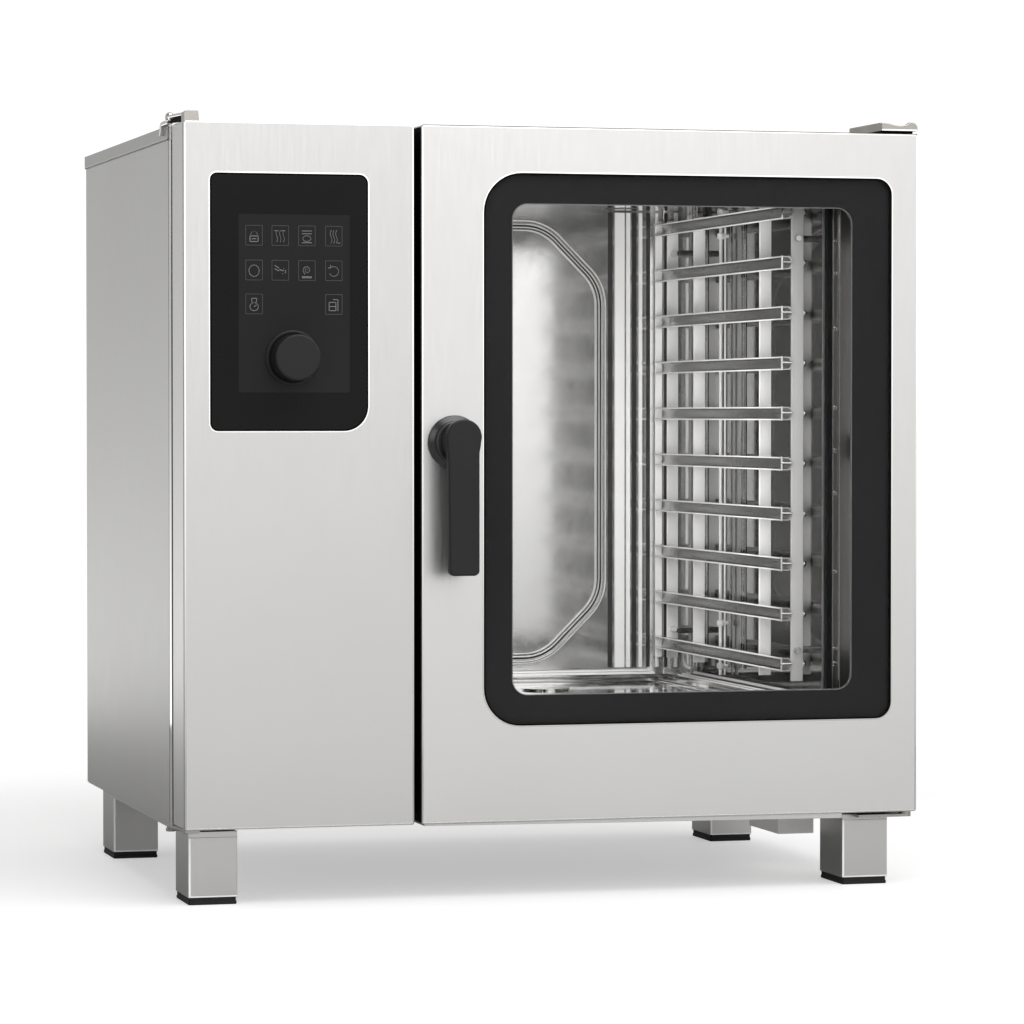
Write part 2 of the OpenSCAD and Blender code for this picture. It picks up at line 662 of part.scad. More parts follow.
// Flanged bushes in the door's top and bottom edges, which turn on the hinge pins
module door_bushes() color([0.20, 0.20, 0.20]) placed()
    for (z = [[front_z + sheet, front_z + 26], [unit_h - 26, unit_h - sheet]]) difference() {
        bar_z(door_axis[0], door_axis[1], z, bush_r);
        bar_z(door_axis[0], door_axis[1], grown(z, 1), door_pin_r + run_fit);
    }

module window_border() color([0.07, 0.07, 0.07]) placed() facing([pane_t - glass_proud, 9]) difference() {
    rounded(grown(win_x, -1), grown(win_z, -1), win_r);
    rounded([win_x[0] + border_w, win_x[1] - border_w - hinge_side_extra],
            [win_z[0] + border_w, win_z[1] - border_w], [24, 24, 24, 24]);
}

module outer_glass() color(clear_glass) placed()
    facing([-glass_proud, pane_t - glass_proud]) rounded(win_x, win_z, win_r);

// Panes inside the tunnel, held by a rubber block in each corner
module pane(y) block(grown(tunnel_x, -sheet - 3), [y, y + pane_t], grown(tunnel_z, -sheet - 3));
module middle_glass() color(clear_glass) placed() pane(40);
module inner_glass() color(clear_glass) placed() pane(76);

// Rubber blocks that hold both panes off the tunnel, in its corners and halfway
module pane_spacers() color(rubber) placed() for (y = [38, 74]) difference() {
    for (x = [tunnel_x[0] + sheet, tunnel_x[1] - sheet - 12],
         z = [tunnel_z[0] + sheet, (tunnel_z[0] + tunnel_z[1]) / 2 - 20, tunnel_z[1] - sheet - 40])
        block([x, x + 12], [y, y + pane_t + 4], [z, z + 40]);
    block(grown(tunnel_x, -sheet - 3), [y + 2, y + 2 + pane_t], grown(tunnel_z, -sheet - 3));
}

// Strips of lamps behind the border, on both sides of the view
module door_lamps() color([0.95, 0.95, 0.90]) placed()
    for (x = [tunnel_x[0] + sheet, tunnel_x[1] - sheet - 8])
        block([x, x + 8], [14, 28], [win_z[0] + 90, win_z[1] - 90]);

// Tray under the door that catches drips, falling towards the hinge side
module door_drip_tray() color(steel) placed() difference() {
    facing([8, front_t - 6]) polygon([[door_x + 6, front_z], [leg_x[1] - 8, front_z],
                                      [leg_x[1] - 8, front_z - 8], [door_x + 6, front_z - 3]]);
    facing([10, front_t - 8]) polygon([[door_x + 8, front_z + 1], [leg_x[1] - 10, front_z + 1],
                                       [leg_x[1] - 10, front_z - 6.5], [door_x + 8, front_z - 1.6]]);
}

// ---- Handle

module handle_rosette() color([0.06, 0.06, 0.06]) placed() difference() {
    union() {
        bar_y(handle_at[0], [-8, 0], handle_at[1], rosette_r);
        bar_y(handle_at[0], [-20, -8], handle_at[1], rosette_r - 8);
        bar_y(handle_at[0], [0, 50], handle_at[1], spindle_r + 2.5);
    }
    bar_y(handle_at[0], [-21, 51], handle_at[1], spindle_r + run_fit);
}

// Lever that hangs from its hub, and the spindle through the door
module handle_lever() color([0.05, 0.05, 0.05]) placed() {
    low = handle_at[1] - lever_reach;
    side = [handle_at[0] + 23.5 - lever_w, handle_at[0] + 23.5];
    bar_y(handle_at[0], [lever_front, lever_back], handle_at[1], lever_w / 2);
    facing([lever_front, lever_front + 16]) {
        polygon([[side[0], handle_at[1]], [side[0] + 4.5, low + 8], [side[0] + 12.5, low], [side[1] - 8, low],
                 [side[1], low + 8], [side[1], handle_at[1]]]);
        translate([side[0] + 12.5, low + 8]) circle(8);
        translate([side[1] - 8, low + 8]) circle(8);
    }
    bar_y(handle_at[0], [lever_back, hook_y[1] + 4], handle_at[1], spindle_r);
}

// Hook on the spindle's end: its notch, open at the top, takes the striker
module latch_hook() color(steel) placed() difference() {
    union() {
        bar_y(handle_at[0], hook_y, handle_at[1], spindle_r + 8);
        facing(hook_y) intersection() {
            translate(handle_at) circle(striker_reach + striker_r + 6);
            polygon([[handle_at[0], handle_at[1] + 9], [handle_at[0] - 60, handle_at[1] + 9],
                     [handle_at[0] - 60, handle_at[1] - 17], [handle_at[0], handle_at[1] - 17]]);
        }
    }
    bar_y(handle_at[0], grown(hook_y, 1), handle_at[1], spindle_r);
    facing(grown(hook_y, 1)) {
        striker_x = handle_at[0] - striker_reach;
        gap = striker_r + 3.2;
        translate([striker_x, handle_at[1]]) circle(gap);
        polygon([[striker_x - gap, handle_at[1]], [striker_x + gap, handle_at[1]],
                 [striker_x + 11, handle_at[1] + 30], [striker_x - 20, handle_at[1] + 30]]);
    }
}

// ---- Control panel

module panel_skin() color(steel) placed() {
    difference() {
        block([0, panel_w], [0, front_t], [front_z, unit_h]);
        block([sheet, panel_w - sheet], [sheet, front_t - sheet], [front_z + sheet, unit_h - sheet]);
        block([16, panel_w - 16], [front_t - 3, front_t + 1], [front_z + 16, unit_h - 16]);
        facing([-1, sheet + 1]) rounded(grown(glass_x, -3), grown(glass_z, -3), [9, 33, 10, 8]);
    }
}

// Seal strip in the gap beside the door
module panel_seal() color(rubber) placed()
    block([panel_w, panel_w + 6], [front_t - 26, front_t], [front_z + 16, unit_h - 4]);

module control_glass() color([0.04, 0.04, 0.045]) placed() difference() {
    union() {
        facing([-glass_proud, 0]) rounded(glass_x, glass_z, [11.5, 36, 13, 10]);
        facing([0, 3]) rounded(grown(glass_x, -3.5), grown(glass_z, -3.5), [8.5, 32.5, 9.5, 7.5]);
    }
    bar_y(dial_at[0], [-5, 4], dial_at[1], dial_shaft_r + 2);
}

// Base ring round the dial
module dial_ring() color([0.06, 0.06, 0.06]) placed() difference() {
    bar_y(dial_at[0], [-4, -glass_proud], dial_at[1], 40);
    bar_y(dial_at[0], [-5, 0], dial_at[1], dial_r + 2);
}

// Circuit board with the touch display and the dial's encoder
module display_board() color([0.10, 0.25, 0.16]) placed() difference() {
    union() {
        block([62, 258], [board_y, board_y + 2], [700, 1044]);
        block([76, 248], [3, 12], [740, 1000]);
        for (x = [70, 250], z = [712, 1032]) bar_y(x, [3, board_y], z, 4);
        bar_y(dial_at[0], [12, board_y + 12], dial_at[1], 9);
    }
    bar_y(dial_at[0], [2, board_y + 13], dial_at[1], dial_shaft_r + run_fit);
}

module dial_shaft() color([0.70, 0.70, 0.69]) placed()
    bar_y(dial_at[0], [dial_front + 12, board_y + 6], dial_at[1], dial_shaft_r);

module dial_knob() color([0.05, 0.05, 0.05]) placed() difference() {
    union() {
        bar_y(dial_at[0], [dial_front + 2, -glass_proud - dial_gap], dial_at[1], dial_r);
        bar_y(dial_at[0], [dial_front, dial_front + 2], dial_at[1], dial_r - 2);
    }
    bar_y(dial_at[0], [dial_front + 11.7, 0], dial_at[1], dial_shaft_r + run_fit);
    bar_y(dial_at[0], [-12, 0], dial_at[1], dial_r - 4);
}

legs();
foot_front_left();
foot_front_right();
foot_rear_left();
foot_rear_right();
base_beams();
bottom_pan();
front_frame();
side_panel_left();
side_panel_right();
rear_panel();
top_cover();
service_box();
cavity_walls();
cavity_rear();
cavity_ceiling();
cavity_floor();
drain_strainer();
insulation();
air_baffle();
baffle_knobs();
heating_coil();
fan_motor();
fan_wheel();
steam_generator();
power_tray();
drain_pipe();
water_inlets();
vent_pipe();
cable_gland();
door_gasket();
rack_pegs();
rack_left();
rack_right();
latch_striker();
door_bracket_upper();
door_plate_lower();
panel_strap_upper();
panel_strap_lower();
door_skin();
door_liner();
door_bushes();
window_border();
outer_glass();
middle_glass();
inner_glass();
pane_spacers();
door_lamps();
door_drip_tray();
handle_rosette();
handle_lever();
latch_hook();
panel_skin();
panel_seal();
panel_hinge_arms();
control_glass();
dial_ring();
display_board();
dial_shaft();
dial_knob();
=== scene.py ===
import json
import math

import bmesh
import bpy
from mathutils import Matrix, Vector

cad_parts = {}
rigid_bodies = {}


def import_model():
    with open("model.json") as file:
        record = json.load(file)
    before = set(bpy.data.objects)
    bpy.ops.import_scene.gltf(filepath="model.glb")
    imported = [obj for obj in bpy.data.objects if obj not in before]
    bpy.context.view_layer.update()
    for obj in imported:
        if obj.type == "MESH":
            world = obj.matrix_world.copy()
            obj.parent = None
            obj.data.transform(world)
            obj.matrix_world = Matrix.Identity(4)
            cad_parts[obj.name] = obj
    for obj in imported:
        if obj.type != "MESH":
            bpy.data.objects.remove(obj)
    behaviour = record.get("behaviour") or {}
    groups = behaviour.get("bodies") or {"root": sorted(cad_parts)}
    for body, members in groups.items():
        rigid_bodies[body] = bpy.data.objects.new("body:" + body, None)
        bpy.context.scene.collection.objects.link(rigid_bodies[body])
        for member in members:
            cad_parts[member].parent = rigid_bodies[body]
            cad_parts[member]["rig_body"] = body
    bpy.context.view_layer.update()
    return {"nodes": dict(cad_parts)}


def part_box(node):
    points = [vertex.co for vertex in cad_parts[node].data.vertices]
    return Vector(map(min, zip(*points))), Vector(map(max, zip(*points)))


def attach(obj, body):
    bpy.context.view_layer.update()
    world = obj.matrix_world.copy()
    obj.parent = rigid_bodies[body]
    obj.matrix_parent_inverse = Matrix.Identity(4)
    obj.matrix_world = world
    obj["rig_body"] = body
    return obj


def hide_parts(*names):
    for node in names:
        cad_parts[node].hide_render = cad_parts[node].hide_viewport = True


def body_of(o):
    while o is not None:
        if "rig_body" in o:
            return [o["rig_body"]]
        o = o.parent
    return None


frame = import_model()
NODES = frame["nodes"]
MM = 0.001
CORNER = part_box("panel_skin")[0]
STEPS = 10  # along each rounded corner of an outline
ROUND = 48  # round a circle


# ---- Places and outlines, in millimetres from the oven's lower left front corner

def spot(x, y, z):
    """A point given from the left side, from the front faces and from the floor."""
    return Vector((CORNER[0] + x * MM, CORNER[1] + y * MM, z * MM))


def span(node):
    """The box of a CAD node as (x, y, z) pairs of lowest and highest, in millimetres."""
    low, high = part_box(node)
    shift = (CORNER[0], CORNER[1], 0.0)
    return [((low[i] - shift[i]) / MM, (high[i] - shift[i]) / MM) for i in range(3)]


def rectangle(x, z, grow=0.0):
    """Corners of a rectangle, lower left first, anticlockwise."""
    left = x[0] - grow
    right = x[1] + grow
    low = z[0] - grow
    high = z[1] + grow
    return [(left, low), (right, low), (right, high), (left, high)]


def outline(corners, radii, offset=0.0):
    """Points round a convex polygon with rounded corners, moved outwards by offset."""
    points = []
    count = len(corners)
    for i in range(count):
        here = Vector(corners[i])
        before = (Vector(corners[i - 1]) - here).normalized()
        after = (Vector(corners[(i + 1) % count]) - here).normalized()
        half = before.angle(after) / 2
        inward = (before + after).normalized()
        here = here - inward * offset / math.sin(half)
        radius = max(radii[i] + offset, 0.05)
        middle = here + inward * radius / math.sin(half)
        start = here + before * radius / math.tan(half) - middle
        turn = math.pi - 2 * half
        first = math.atan2(start.y, start.x)
        for step in range(STEPS + 1):
            angle = first + turn * step / STEPS
            points.append((middle.x + radius * math.cos(angle), middle.y + radius * math.sin(angle)))
    return points


def arc(cx, cz, radius, first, last, squash=1.0, count=14):
    """Points along part of a circle or ellipse, in degrees anticlockwise."""
    angles = [math.radians(first + (last - first) * i / count) for i in range(count + 1)]
    return [(cx + radius * math.cos(a), cz + radius * squash * math.sin(a)) for a in angles]


def facing(points, y):
    """A flat outline stood upright, facing the front, at y."""
    return [spot(x, y, z) for x, z in points]


def circle(radius, at, along, place):
    """A circle of points round an axis x, y or z through at, at a place along that axis."""
    points = []
    for step in range(ROUND):
        angle = 2 * math.pi * step / ROUND
        a = radius * math.cos(angle)
        b = radius * math.sin(angle)
        if along == "y":
            points.append(spot(at[0] + a, place, at[1] + b))
        elif along == "x":
            points.append(spot(place, at[0] + a, at[1] + b))
        else:
            points.append(spot(at[0] + a, at[1] + b, place))
    return points


COVER_TOP = span("top_cover")[2][1]
FRAME_FACE = span("front_frame")[1][0]
WALL_RIGHT = span("cavity_walls")[0][1] - 1.5  # the wall's inner face: its sheet is 1.5 thick
WALL_REAR = span("cavity_walls")[1][1]
FLOOR_TOP = span("cavity_floor")[2][1]


# ---- Building pieces

def skin(loops, ring=False):
    """A solid over loops of equally many points: a ring of loops, or closed at both ends."""
    size = len(loops[0])
    faces = []
    for k in range(len(loops) if ring else len(loops) - 1):
        a = k * size
        b = (k + 1) % len(loops) * size
        for i in range(size):
            j = (i + 1) % size
            faces.append((a + i, a + j, b + j, b + i))
    if not ring:
        faces.append(tuple(reversed(range(size))))
        faces.append(tuple(range((len(loops) - 1) * size, len(loops) * size)))
    return [point for loop in loops for point in loop], faces


def box(x, y, z):
    """A plain block as points and faces."""
    low = facing(rectangle(x, z), y[0])
    high = facing(rectangle(x, z), y[1])
    return skin([low, high])


def turned(profile, at, along):
    """A turned solid from (radius, place along the axis) pairs."""
    return skin([circle(radius, at, along, place) for radius, place in profile])


def rod(start, end, radius, along):
    """A plain round bar with slightly broken edges."""
    edge = min(radius * 0.25, 0.6)
    at = {"x": start[1:], "y": (start[0], start[2]), "z": start[:2]}[along]
    first = start["xyz".index(along)]
    last = end["xyz".index(along)]
    profile = [(radius - edge, first), (radius, first + edge), (radius, last - edge), (radius - edge, last)]
    return turned(profile, at, along)


def upright(x, y, z, radius):
    """A plain round bar that stands at x and y, from z[0] up to z[1]."""
    return rod((x, y, z[0]), (x, y, z[1]), radius, "z")


def placed(name, data):
    """A new object in the scene."""
    made = bpy.data.objects.new(name, data)
    bpy.context.scene.collection.objects.link(made)
    return made


def piece(name, solids, body, material, bevel=0.0, smooth=40.0, stands_for=()):
    """One visible piece from several solids: it rides on a CAD body and takes the place of CAD nodes."""
    points = []
    faces = []
    for solid_points, solid_faces in solids:
        base = len(points)
        points.extend(solid_points)
        faces.extend(tuple(base + i for i in face) for face in solid_faces)
    mesh = bpy.data.meshes.new(name)
    mesh.from_pydata(points, [], faces)
    shape = bmesh.new()
    shape.from_mesh(mesh)
    bmesh.ops.remove_doubles(shape, verts=shape.verts, dist=1e-7)
    bmesh.ops.recalc_face_normals(shape, faces=shape.faces)
    shape.to_mesh(mesh)
    shape.free()
    made = placed(name, mesh)
    dress(made, body, material, bevel, smooth)
    if stands_for:
        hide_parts(*stands_for)
    return made


def dress(made, body, material, bevel=0.0, smooth=40.0):
    """Shading, broken edges, material and body of a piece."""
    mesh = made.data
    mesh.materials.clear()
    mesh.materials.append(material)
    for face in mesh.polygons:
        face.use_smooth = True
    mesh.set_sharp_from_angle(angle=math.radians(smooth))
    if bevel:
        soften(made, bevel)
    weighted = made.modifiers.new("Even shading", "WEIGHTED_NORMAL")
    weighted.keep_sharp = True
    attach(made, body)


def soften(made, width):
    """Rounded edges, wherever two faces meet at a clear angle."""
    edges = made.modifiers.new("Rounded edges", "BEVEL")
    edges.width = width * MM
    edges.segments = 3
    edges.limit_method = "ANGLE"
    edges.angle_limit = math.radians(35)
    edges.harden_normals = False
    edges.use_clamp_overlap = True


def refined(name, node, material, bevel, body):
    """A copy of a CAD node with its flat faces whole and its edges rounded, in the node's place."""
    mesh = NODES[node].data.copy()
    shape = bmesh.new()
    shape.from_mesh(mesh)
    bmesh.ops.remove_doubles(shape, verts=shape.verts, dist=1e-6)
    bmesh.ops.dissolve_limit(shape, angle_limit=math.radians(0.3), verts=shape.verts, edges=shape.edges)
    shape.to_mesh(mesh)
    shape.free()
    made = placed(name, mesh)
    dress(made, body, material, bevel)
    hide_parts(node)
    return made


# ---- Materials

def shader(name, colour, metallic, roughness):
    """A new material with these plain values, together with its node tree and its shader."""
    material = bpy.data.materials.new(name)
    material.use_nodes = True
    tree = material.node_tree
    principled = tree.nodes["Principled BSDF"]
    principled.inputs["Base Color"].default_value = (*colour, 1.0)
    principled.inputs["Metallic"].default_value = metallic
    principled.inputs["Roughness"].default_value = roughness
    return material, tree, principled


def noise(tree, scale, stretch=(1.0, 1.0, 1.0), detail=3.0):
    """Noise in the piece's own space, squeezed along each axis by stretch."""
    where = tree.nodes.new("ShaderNodeTexCoord")
    mapping = tree.nodes.new("ShaderNodeMapping")
    mapping.inputs["Scale"].default_value = stretch
    texture = tree.nodes.new("ShaderNodeTexNoise")
    texture.inputs["Scale"].default_value = scale
    texture.inputs["Detail"].default_value = detail
    tree.links.new(where.outputs["Object"], mapping.inputs["Vector"])
    tree.links.new(mapping.outputs["Vector"], texture.inputs["Vector"])
    return texture.outputs["Fac"]


def remap(tree, source, start, end, low, high, kind="SMOOTHSTEP"):
    """The source's values between start and end, spread from low to high."""
    levels = tree.nodes.new("ShaderNodeMapRange")
    levels.interpolation_type = kind
    for name, value in (("From Min", start), ("From Max", end), ("To Min", low), ("To Max", high)):
        levels.inputs[name].default_value = value
    tree.links.new(source, levels.inputs["Value"])
    return levels.outputs["Result"]


def roughen(tree, principled, source, low, high):
    """Roughness from low to high with the source."""
    levels = remap(tree, source, 0.3, 0.7, low, high, "LINEAR")
    tree.links.new(levels, principled.inputs["Roughness"])


def tint(tree, principled, source, dark, light):
    """Colour from dark to light with the source."""
    ramp = tree.nodes.new("ShaderNodeValToRGB")
    ramp.color_ramp.elements[0].position = 0.3
    ramp.color_ramp.elements[0].color = (*dark, 1.0)
    ramp.color_ramp.elements[1].position = 0.7
    ramp.color_ramp.elements[1].color = (*light, 1.0)
    tree.links.new(source, ramp.inputs["Fac"])
    tree.links.new(ramp.outputs["Color"], principled.inputs["Base Color"])


def emboss(tree, principled, source, strength, height):
    """Fine relief with the source; height in millimetres."""
    relief = tree.nodes.new("ShaderNodeBump")
    relief.inputs["Strength"].default_value = strength
    relief.inputs["Distance"].default_value = height * MM
    tree.links.new(source, relief.inputs["Height"])
    tree.links.new(relief.outputs["Normal"], principled.inputs["Normal"])


def brushed(name, light, rough, grain=(1.0, 1.0, 0.012)):
    """Stainless sheet with a fine ground grain, finest across the grain."""
    material, tree, principled = shader(name, (light, light, light), 1.0, rough)
    fine = noise(tree, 1500.0, grain, 2.0)
    wide = noise(tree, 3.0)
    roughen(tree, principled, fine, rough - 0.05, rough + 0.06)
    dark = (light * 0.975, light * 0.965, light * 0.95)
    tint(tree, principled, wide, dark, (light, light * 0.995, light * 0.985))
    emboss(tree, principled, fine, 0.12, 0.02)
    return material


def polished(name, light, rough, metallic=1.0):
    """Mirror-like stainless with slight waves in the sheet."""
    material, tree, principled = shader(name, (light, light, light), metallic, rough)
    waves = noise(tree, 9.0, (1.0, 1.0, 0.35), 1.0)
    haze = noise(tree, 60.0)
    roughen(tree, principled, haze, max(rough - 0.02, 0.02), rough + 0.03)
    dark = (light * 0.96, light * 0.95, light * 0.935)
    tint(tree, principled, waves, dark, (light, light * 0.995, light * 0.985))
    emboss(tree, principled, waves, 0.10, 0.6)
    return material


def plastic(name, dark, light, rough, grain=900.0, strength=0.15, gloss=0.34):
    """Matt moulded plastic or rubber with a fine grain."""
    material, tree, principled = shader(name, dark, 0.0, rough)
    fine = noise(tree, grain)
    tint(tree, principled, noise(tree, 12.0), dark, light)
    roughen(tree, principled, fine, rough - 0.06, rough + 0.06)
    emboss(tree, principled, fine, strength, 0.05)
    principled.inputs["Specular IOR Level"].default_value = gloss
    return material


def painted(name, dark, light, rough, metallic=0.0):
    """Paint or bare metal with soft blotches and a fine grain."""
    material, tree, principled = shader(name, dark, metallic, rough)
    tint(tree, principled, noise(tree, 25.0), dark, light)
    fine = noise(tree, 400.0)
    roughen(tree, principled, fine, rough - 0.07, rough + 0.07)
    emboss(tree, principled, fine, 0.12, 0.05)
    return material


def satin_glass(name, dark, light, rough):
    """Back-printed black glass with a smooth satin face."""
    material, tree, principled = shader(name, dark, 0.0, rough)
    tint(tree, principled, noise(tree, 5.0), dark, light)
    roughen(tree, principled, noise(tree, 300.0), rough - 0.04, rough + 0.04)
    principled.inputs["Specular IOR Level"].default_value = 0.12
    return material


def window_glass():
    """Clear pane with a slight tint and faint streaks."""
    material, tree, principled = shader("Clear glass", (0.02, 0.025, 0.025), 0.0, 0.03)
    roughen(tree, principled, noise(tree, 40.0), 0.02, 0.05)
    principled.inputs["Alpha"].default_value = 0.02
    principled.inputs["Specular IOR Level"].default_value = 0.2
    return material


def glowing(name, colour, strength):
    """Frosted cover of a lamp that is lit."""
    material, tree, principled = shader(name, colour, 0.0, 0.4)
    tint(tree, principled, noise(tree, 30.0), tuple(0.93 * c for c in colour), colour)
    principled.inputs["Emission Color"].default_value = (1.0, 0.97, 0.92, 1.0)
    principled.inputs["Emission Strength"].default_value = strength
    return material


SKIN = brushed("Brushed steel", 0.80, 0.34)
# Painted light and shade: the door, the panel and the cover take lighter and darker copies of the one brushed
# steel, set to how light falls on each.
DOOR_SKIN = brushed("Brushed steel of the door", 0.84, 0.34)
PANEL_SKIN = brushed("Brushed steel of the panel", 0.765, 0.34)
COVER = brushed("Brushed steel of the cover", 0.50, 0.36)
# Painted highlight: near-white mirror steel for thin strips that stand in for highlights along edges and
# round the glasses.
PAINTED_HIGHLIGHT = polished("Painted highlight steel", 0.97, 0.06)
# Painted shade: near-black for dark blocks and sheets set where there is only shade, and for the panel seal,
# darkened to read as a shaded gap.
SHADE_BLACK = plastic("Black seal and painted shade", (0.0015, 0.0015, 0.0015), (0.0022, 0.0022, 0.0022), 0.60, 500.0, 0.2, 0.04)
# Painted shade: darker copies of the brushed steel for the cabinet's sides, rear and underside, and for the
# legs.
SIDE = brushed("Brushed steel of the cabinet", 0.62, 0.36)
LEG = brushed("Brushed steel of the legs", 0.695, 0.34)
# Painted light: the inlet box under the cabinet, which stands in shade, takes a lighter, partly matt copy of
# the steel.
INLET = painted("Inlet box steel", (0.80, 0.78, 0.755), (0.86, 0.84, 0.815), 0.36, 0.35)
CAST = painted("Satin hinge steel", (0.45, 0.43, 0.40), (0.54, 0.515, 0.48), 0.33, 1.0)
MIRROR = polished("Polished steel", 0.84, 0.07)
SOFT = polished("Satin polished steel", 0.84, 0.20)
# Painted shade: the shelf rails take a darker copy of the polished steel.
RAIL = polished("Shelf rail steel", 0.60, 0.20)
# Painted light: a near-white, partly matt copy of the steel, which the cavity light brightens; used for the
# rack posts and for thin strips of painted highlight.
LIT_STEEL = polished("Painted lit steel", 0.95, 0.40, 0.30)
# Painted shade: the cavity's side walls take a much darker copy of the polished steel, so that they reflect
# darker.
WALL = polished("Cavity wall steel", 0.20, 0.05)
REAR = polished("Rear wall steel", 0.87, 0.11, 0.90)
# Painted shade: near-black for thin lines along joints, bends, grooves and corner stripes, where there is
# only shade.
SHADE_LINE = painted("Painted shade line", (0.020, 0.020, 0.020), (0.035, 0.034, 0.033), 0.40)
BRIGHT = polished("Bright bar steel", 0.92, 0.10)
BLACK = plastic("Black plastic", (0.012, 0.012, 0.013), (0.016, 0.016, 0.017), 0.46)
ROSETTE = plastic("Rosette plastic", (0.016, 0.016, 0.017), (0.021, 0.021, 0.022), 0.30, 900.0, 0.10, 0.75)
RUBBER = plastic("Black rubber", (0.010, 0.010, 0.010), (0.014, 0.014, 0.014), 0.62, 500.0, 0.25)
PANEL_GLASS = satin_glass("Control glass", (0.0062, 0.0062, 0.0068), (0.0084, 0.0084, 0.009), 0.30)
FIELD_GLASS = satin_glass("Touch field", (0.0165, 0.0165, 0.0172), (0.0195, 0.0195, 0.020), 0.34)
BORDER = satin_glass("Border print", (0.017, 0.017, 0.017), (0.020, 0.020, 0.020), 0.34)
LINE = painted("View line", (0.20, 0.20, 0.20), (0.26, 0.26, 0.26), 0.35, 0.6)
MARKS = painted("Key signs", (0.20, 0.20, 0.205), (0.26, 0.26, 0.265), 0.5)
FRAME_MARKS = painted("Key frames", (0.060, 0.060, 0.062), (0.080, 0.080, 0.083), 0.5)
PANE = window_glass()
WOOL = plastic("Mineral wool", (0.42, 0.36, 0.20), (0.52, 0.46, 0.28), 0.85, 180.0, 0.6)
HEATER = painted("Heater steel", (0.20, 0.17, 0.15), (0.30, 0.26, 0.23), 0.40, 1.0)
MOTOR = painted("Motor paint", (0.06, 0.07, 0.09), (0.09, 0.10, 0.12), 0.45)
GEAR = painted("Switchgear grey", (0.32, 0.34, 0.35), (0.40, 0.42, 0.43), 0.50)
BOARD = painted("Circuit board", (0.010, 0.060, 0.028), (0.020, 0.100, 0.045), 0.40)
BRASS = painted("Brass", (0.62, 0.44, 0.18), (0.72, 0.54, 0.25), 0.30, 1.0)
LAMP = glowing("Lamp cover", (0.62, 0.61, 0.58), 0.25)
FAN = brushed("Fan steel", 0.58, 0.30, (1.0, 1.0, 1.0))
BUSH = plastic("Bearing plastic", (0.030, 0.030, 0.032), (0.045, 0.045, 0.048), 0.38)


# ---- Cabinet

def cabinet_shell():
    """Side panels, front frame, cover and rear as bent sheet."""
    refined("side_panel_left", "side_panel_left", SIDE, 0.5, "cabinet")
    refined("side_panel_right", "side_panel_right", SIDE, 0.5, "cabinet")
    refined("front_frame", "front_frame", SKIN, 0.4, "cabinet")
    refined("top_cover", "top_cover", COVER, 0.8, "cabinet")
    refined("rear_panel", "rear_panel", SIDE, 0.4, "cabinet")
    cabinet_edges()


def leg_frame():
    """Legs, beams and the boxes under the cabinet."""
    refined("legs", "legs", LEG, 2.2, "cabinet")
    refined("beams", "base_beams", LEG, 1.0, "cabinet")
    refined("air_inlet_box", "service_box", INLET, 1.5, "cabinet")
    leg_edge_highlights()
    for name in ("front_left", "front_right", "rear_left", "rear_right"):
        foot(name)


# Layers of a foot's pad from the floor up: bottom, top, how far it is set in, and its broken edge
PAD_LAYERS = ((0.0, 5.2, 0.0, 0.8), (5.2, 10.3, 0.8, 0.4), (10.3, 14.0, 3.2, 0.8))


def foot(name):
    """A rubber pad in three layers on its stem."""
    x, y, z = span("foot_" + name)
    middle = ((x[0] + x[1]) / 2, (y[0] + y[1]) / 2)
    solids = []
    for low, high, inset, edge in PAD_LAYERS:
        levels = [(low, inset + edge), (low + edge, inset), (high - edge, inset), (high, inset + edge)]
        loops = []
        for level, inward in levels:
            loops.append([spot(a, b, level) for a, b in outline(rectangle(x, y, -inward), [3.0] * 4)])
        solids.append(skin(loops))
    solids.append(turned([(7.2, 13.0), (8.0, 14.5), (8.0, z[1] - 1.0), (7.2, z[1])], middle, "z"))
    piece("foot_" + name + "_pad", solids, "foot_" + name, RUBBER, stands_for=["foot_" + name])


def bent_edges(name, x, z, body):
    """Painted highlights along a front skin's bent edges, painted shade lines behind them, and a near-black
    lining of painted shade on the door's left side.
    """
    face = (-0.2, 0.9)
    between_x = (x[0] + 2.6, x[1] - 2.6)
    between_z = (z[0] + 2.6, z[1] - 2.6)
    # Strips of painted highlight along the bends.
    beads = [box((place, place + 2.2), face, between_z) for place in (x[0] + 0.6, x[1] - 2.8)]
    beads += [box(between_x, face, (place, place + 2.0)) for place in (z[0] + 0.6, z[1] - 2.6)]
    # Thin lines of painted shade behind the bends.
    shade_lines = [upright(place, 3.4, (z[0] + 3.0, z[1] - 3.0), 0.9) for place in (x[0] + 0.5, x[1] - 0.2)]
    if body == "door":
        shade_lines.append(rod((x[0] + 2.0, 1.2, z[1] - 0.1), (x[1] - 1.0, 1.2, z[1] - 0.1), 0.7, "x"))
        # A near-black sheet of painted shade on the door's left side.
        side_shade = [box((x[0] - 0.4, x[0] + 0.2), (5.0, 62.0), between_z)]
        piece("door_side_shade", side_shade, body, SHADE_BLACK, bevel=0.1)
    piece(name + "_edge_highlights", beads, body, PAINTED_HIGHLIGHT, bevel=0.15)
    piece(name + "_edge_shade_lines", shade_lines, body, SHADE_LINE)


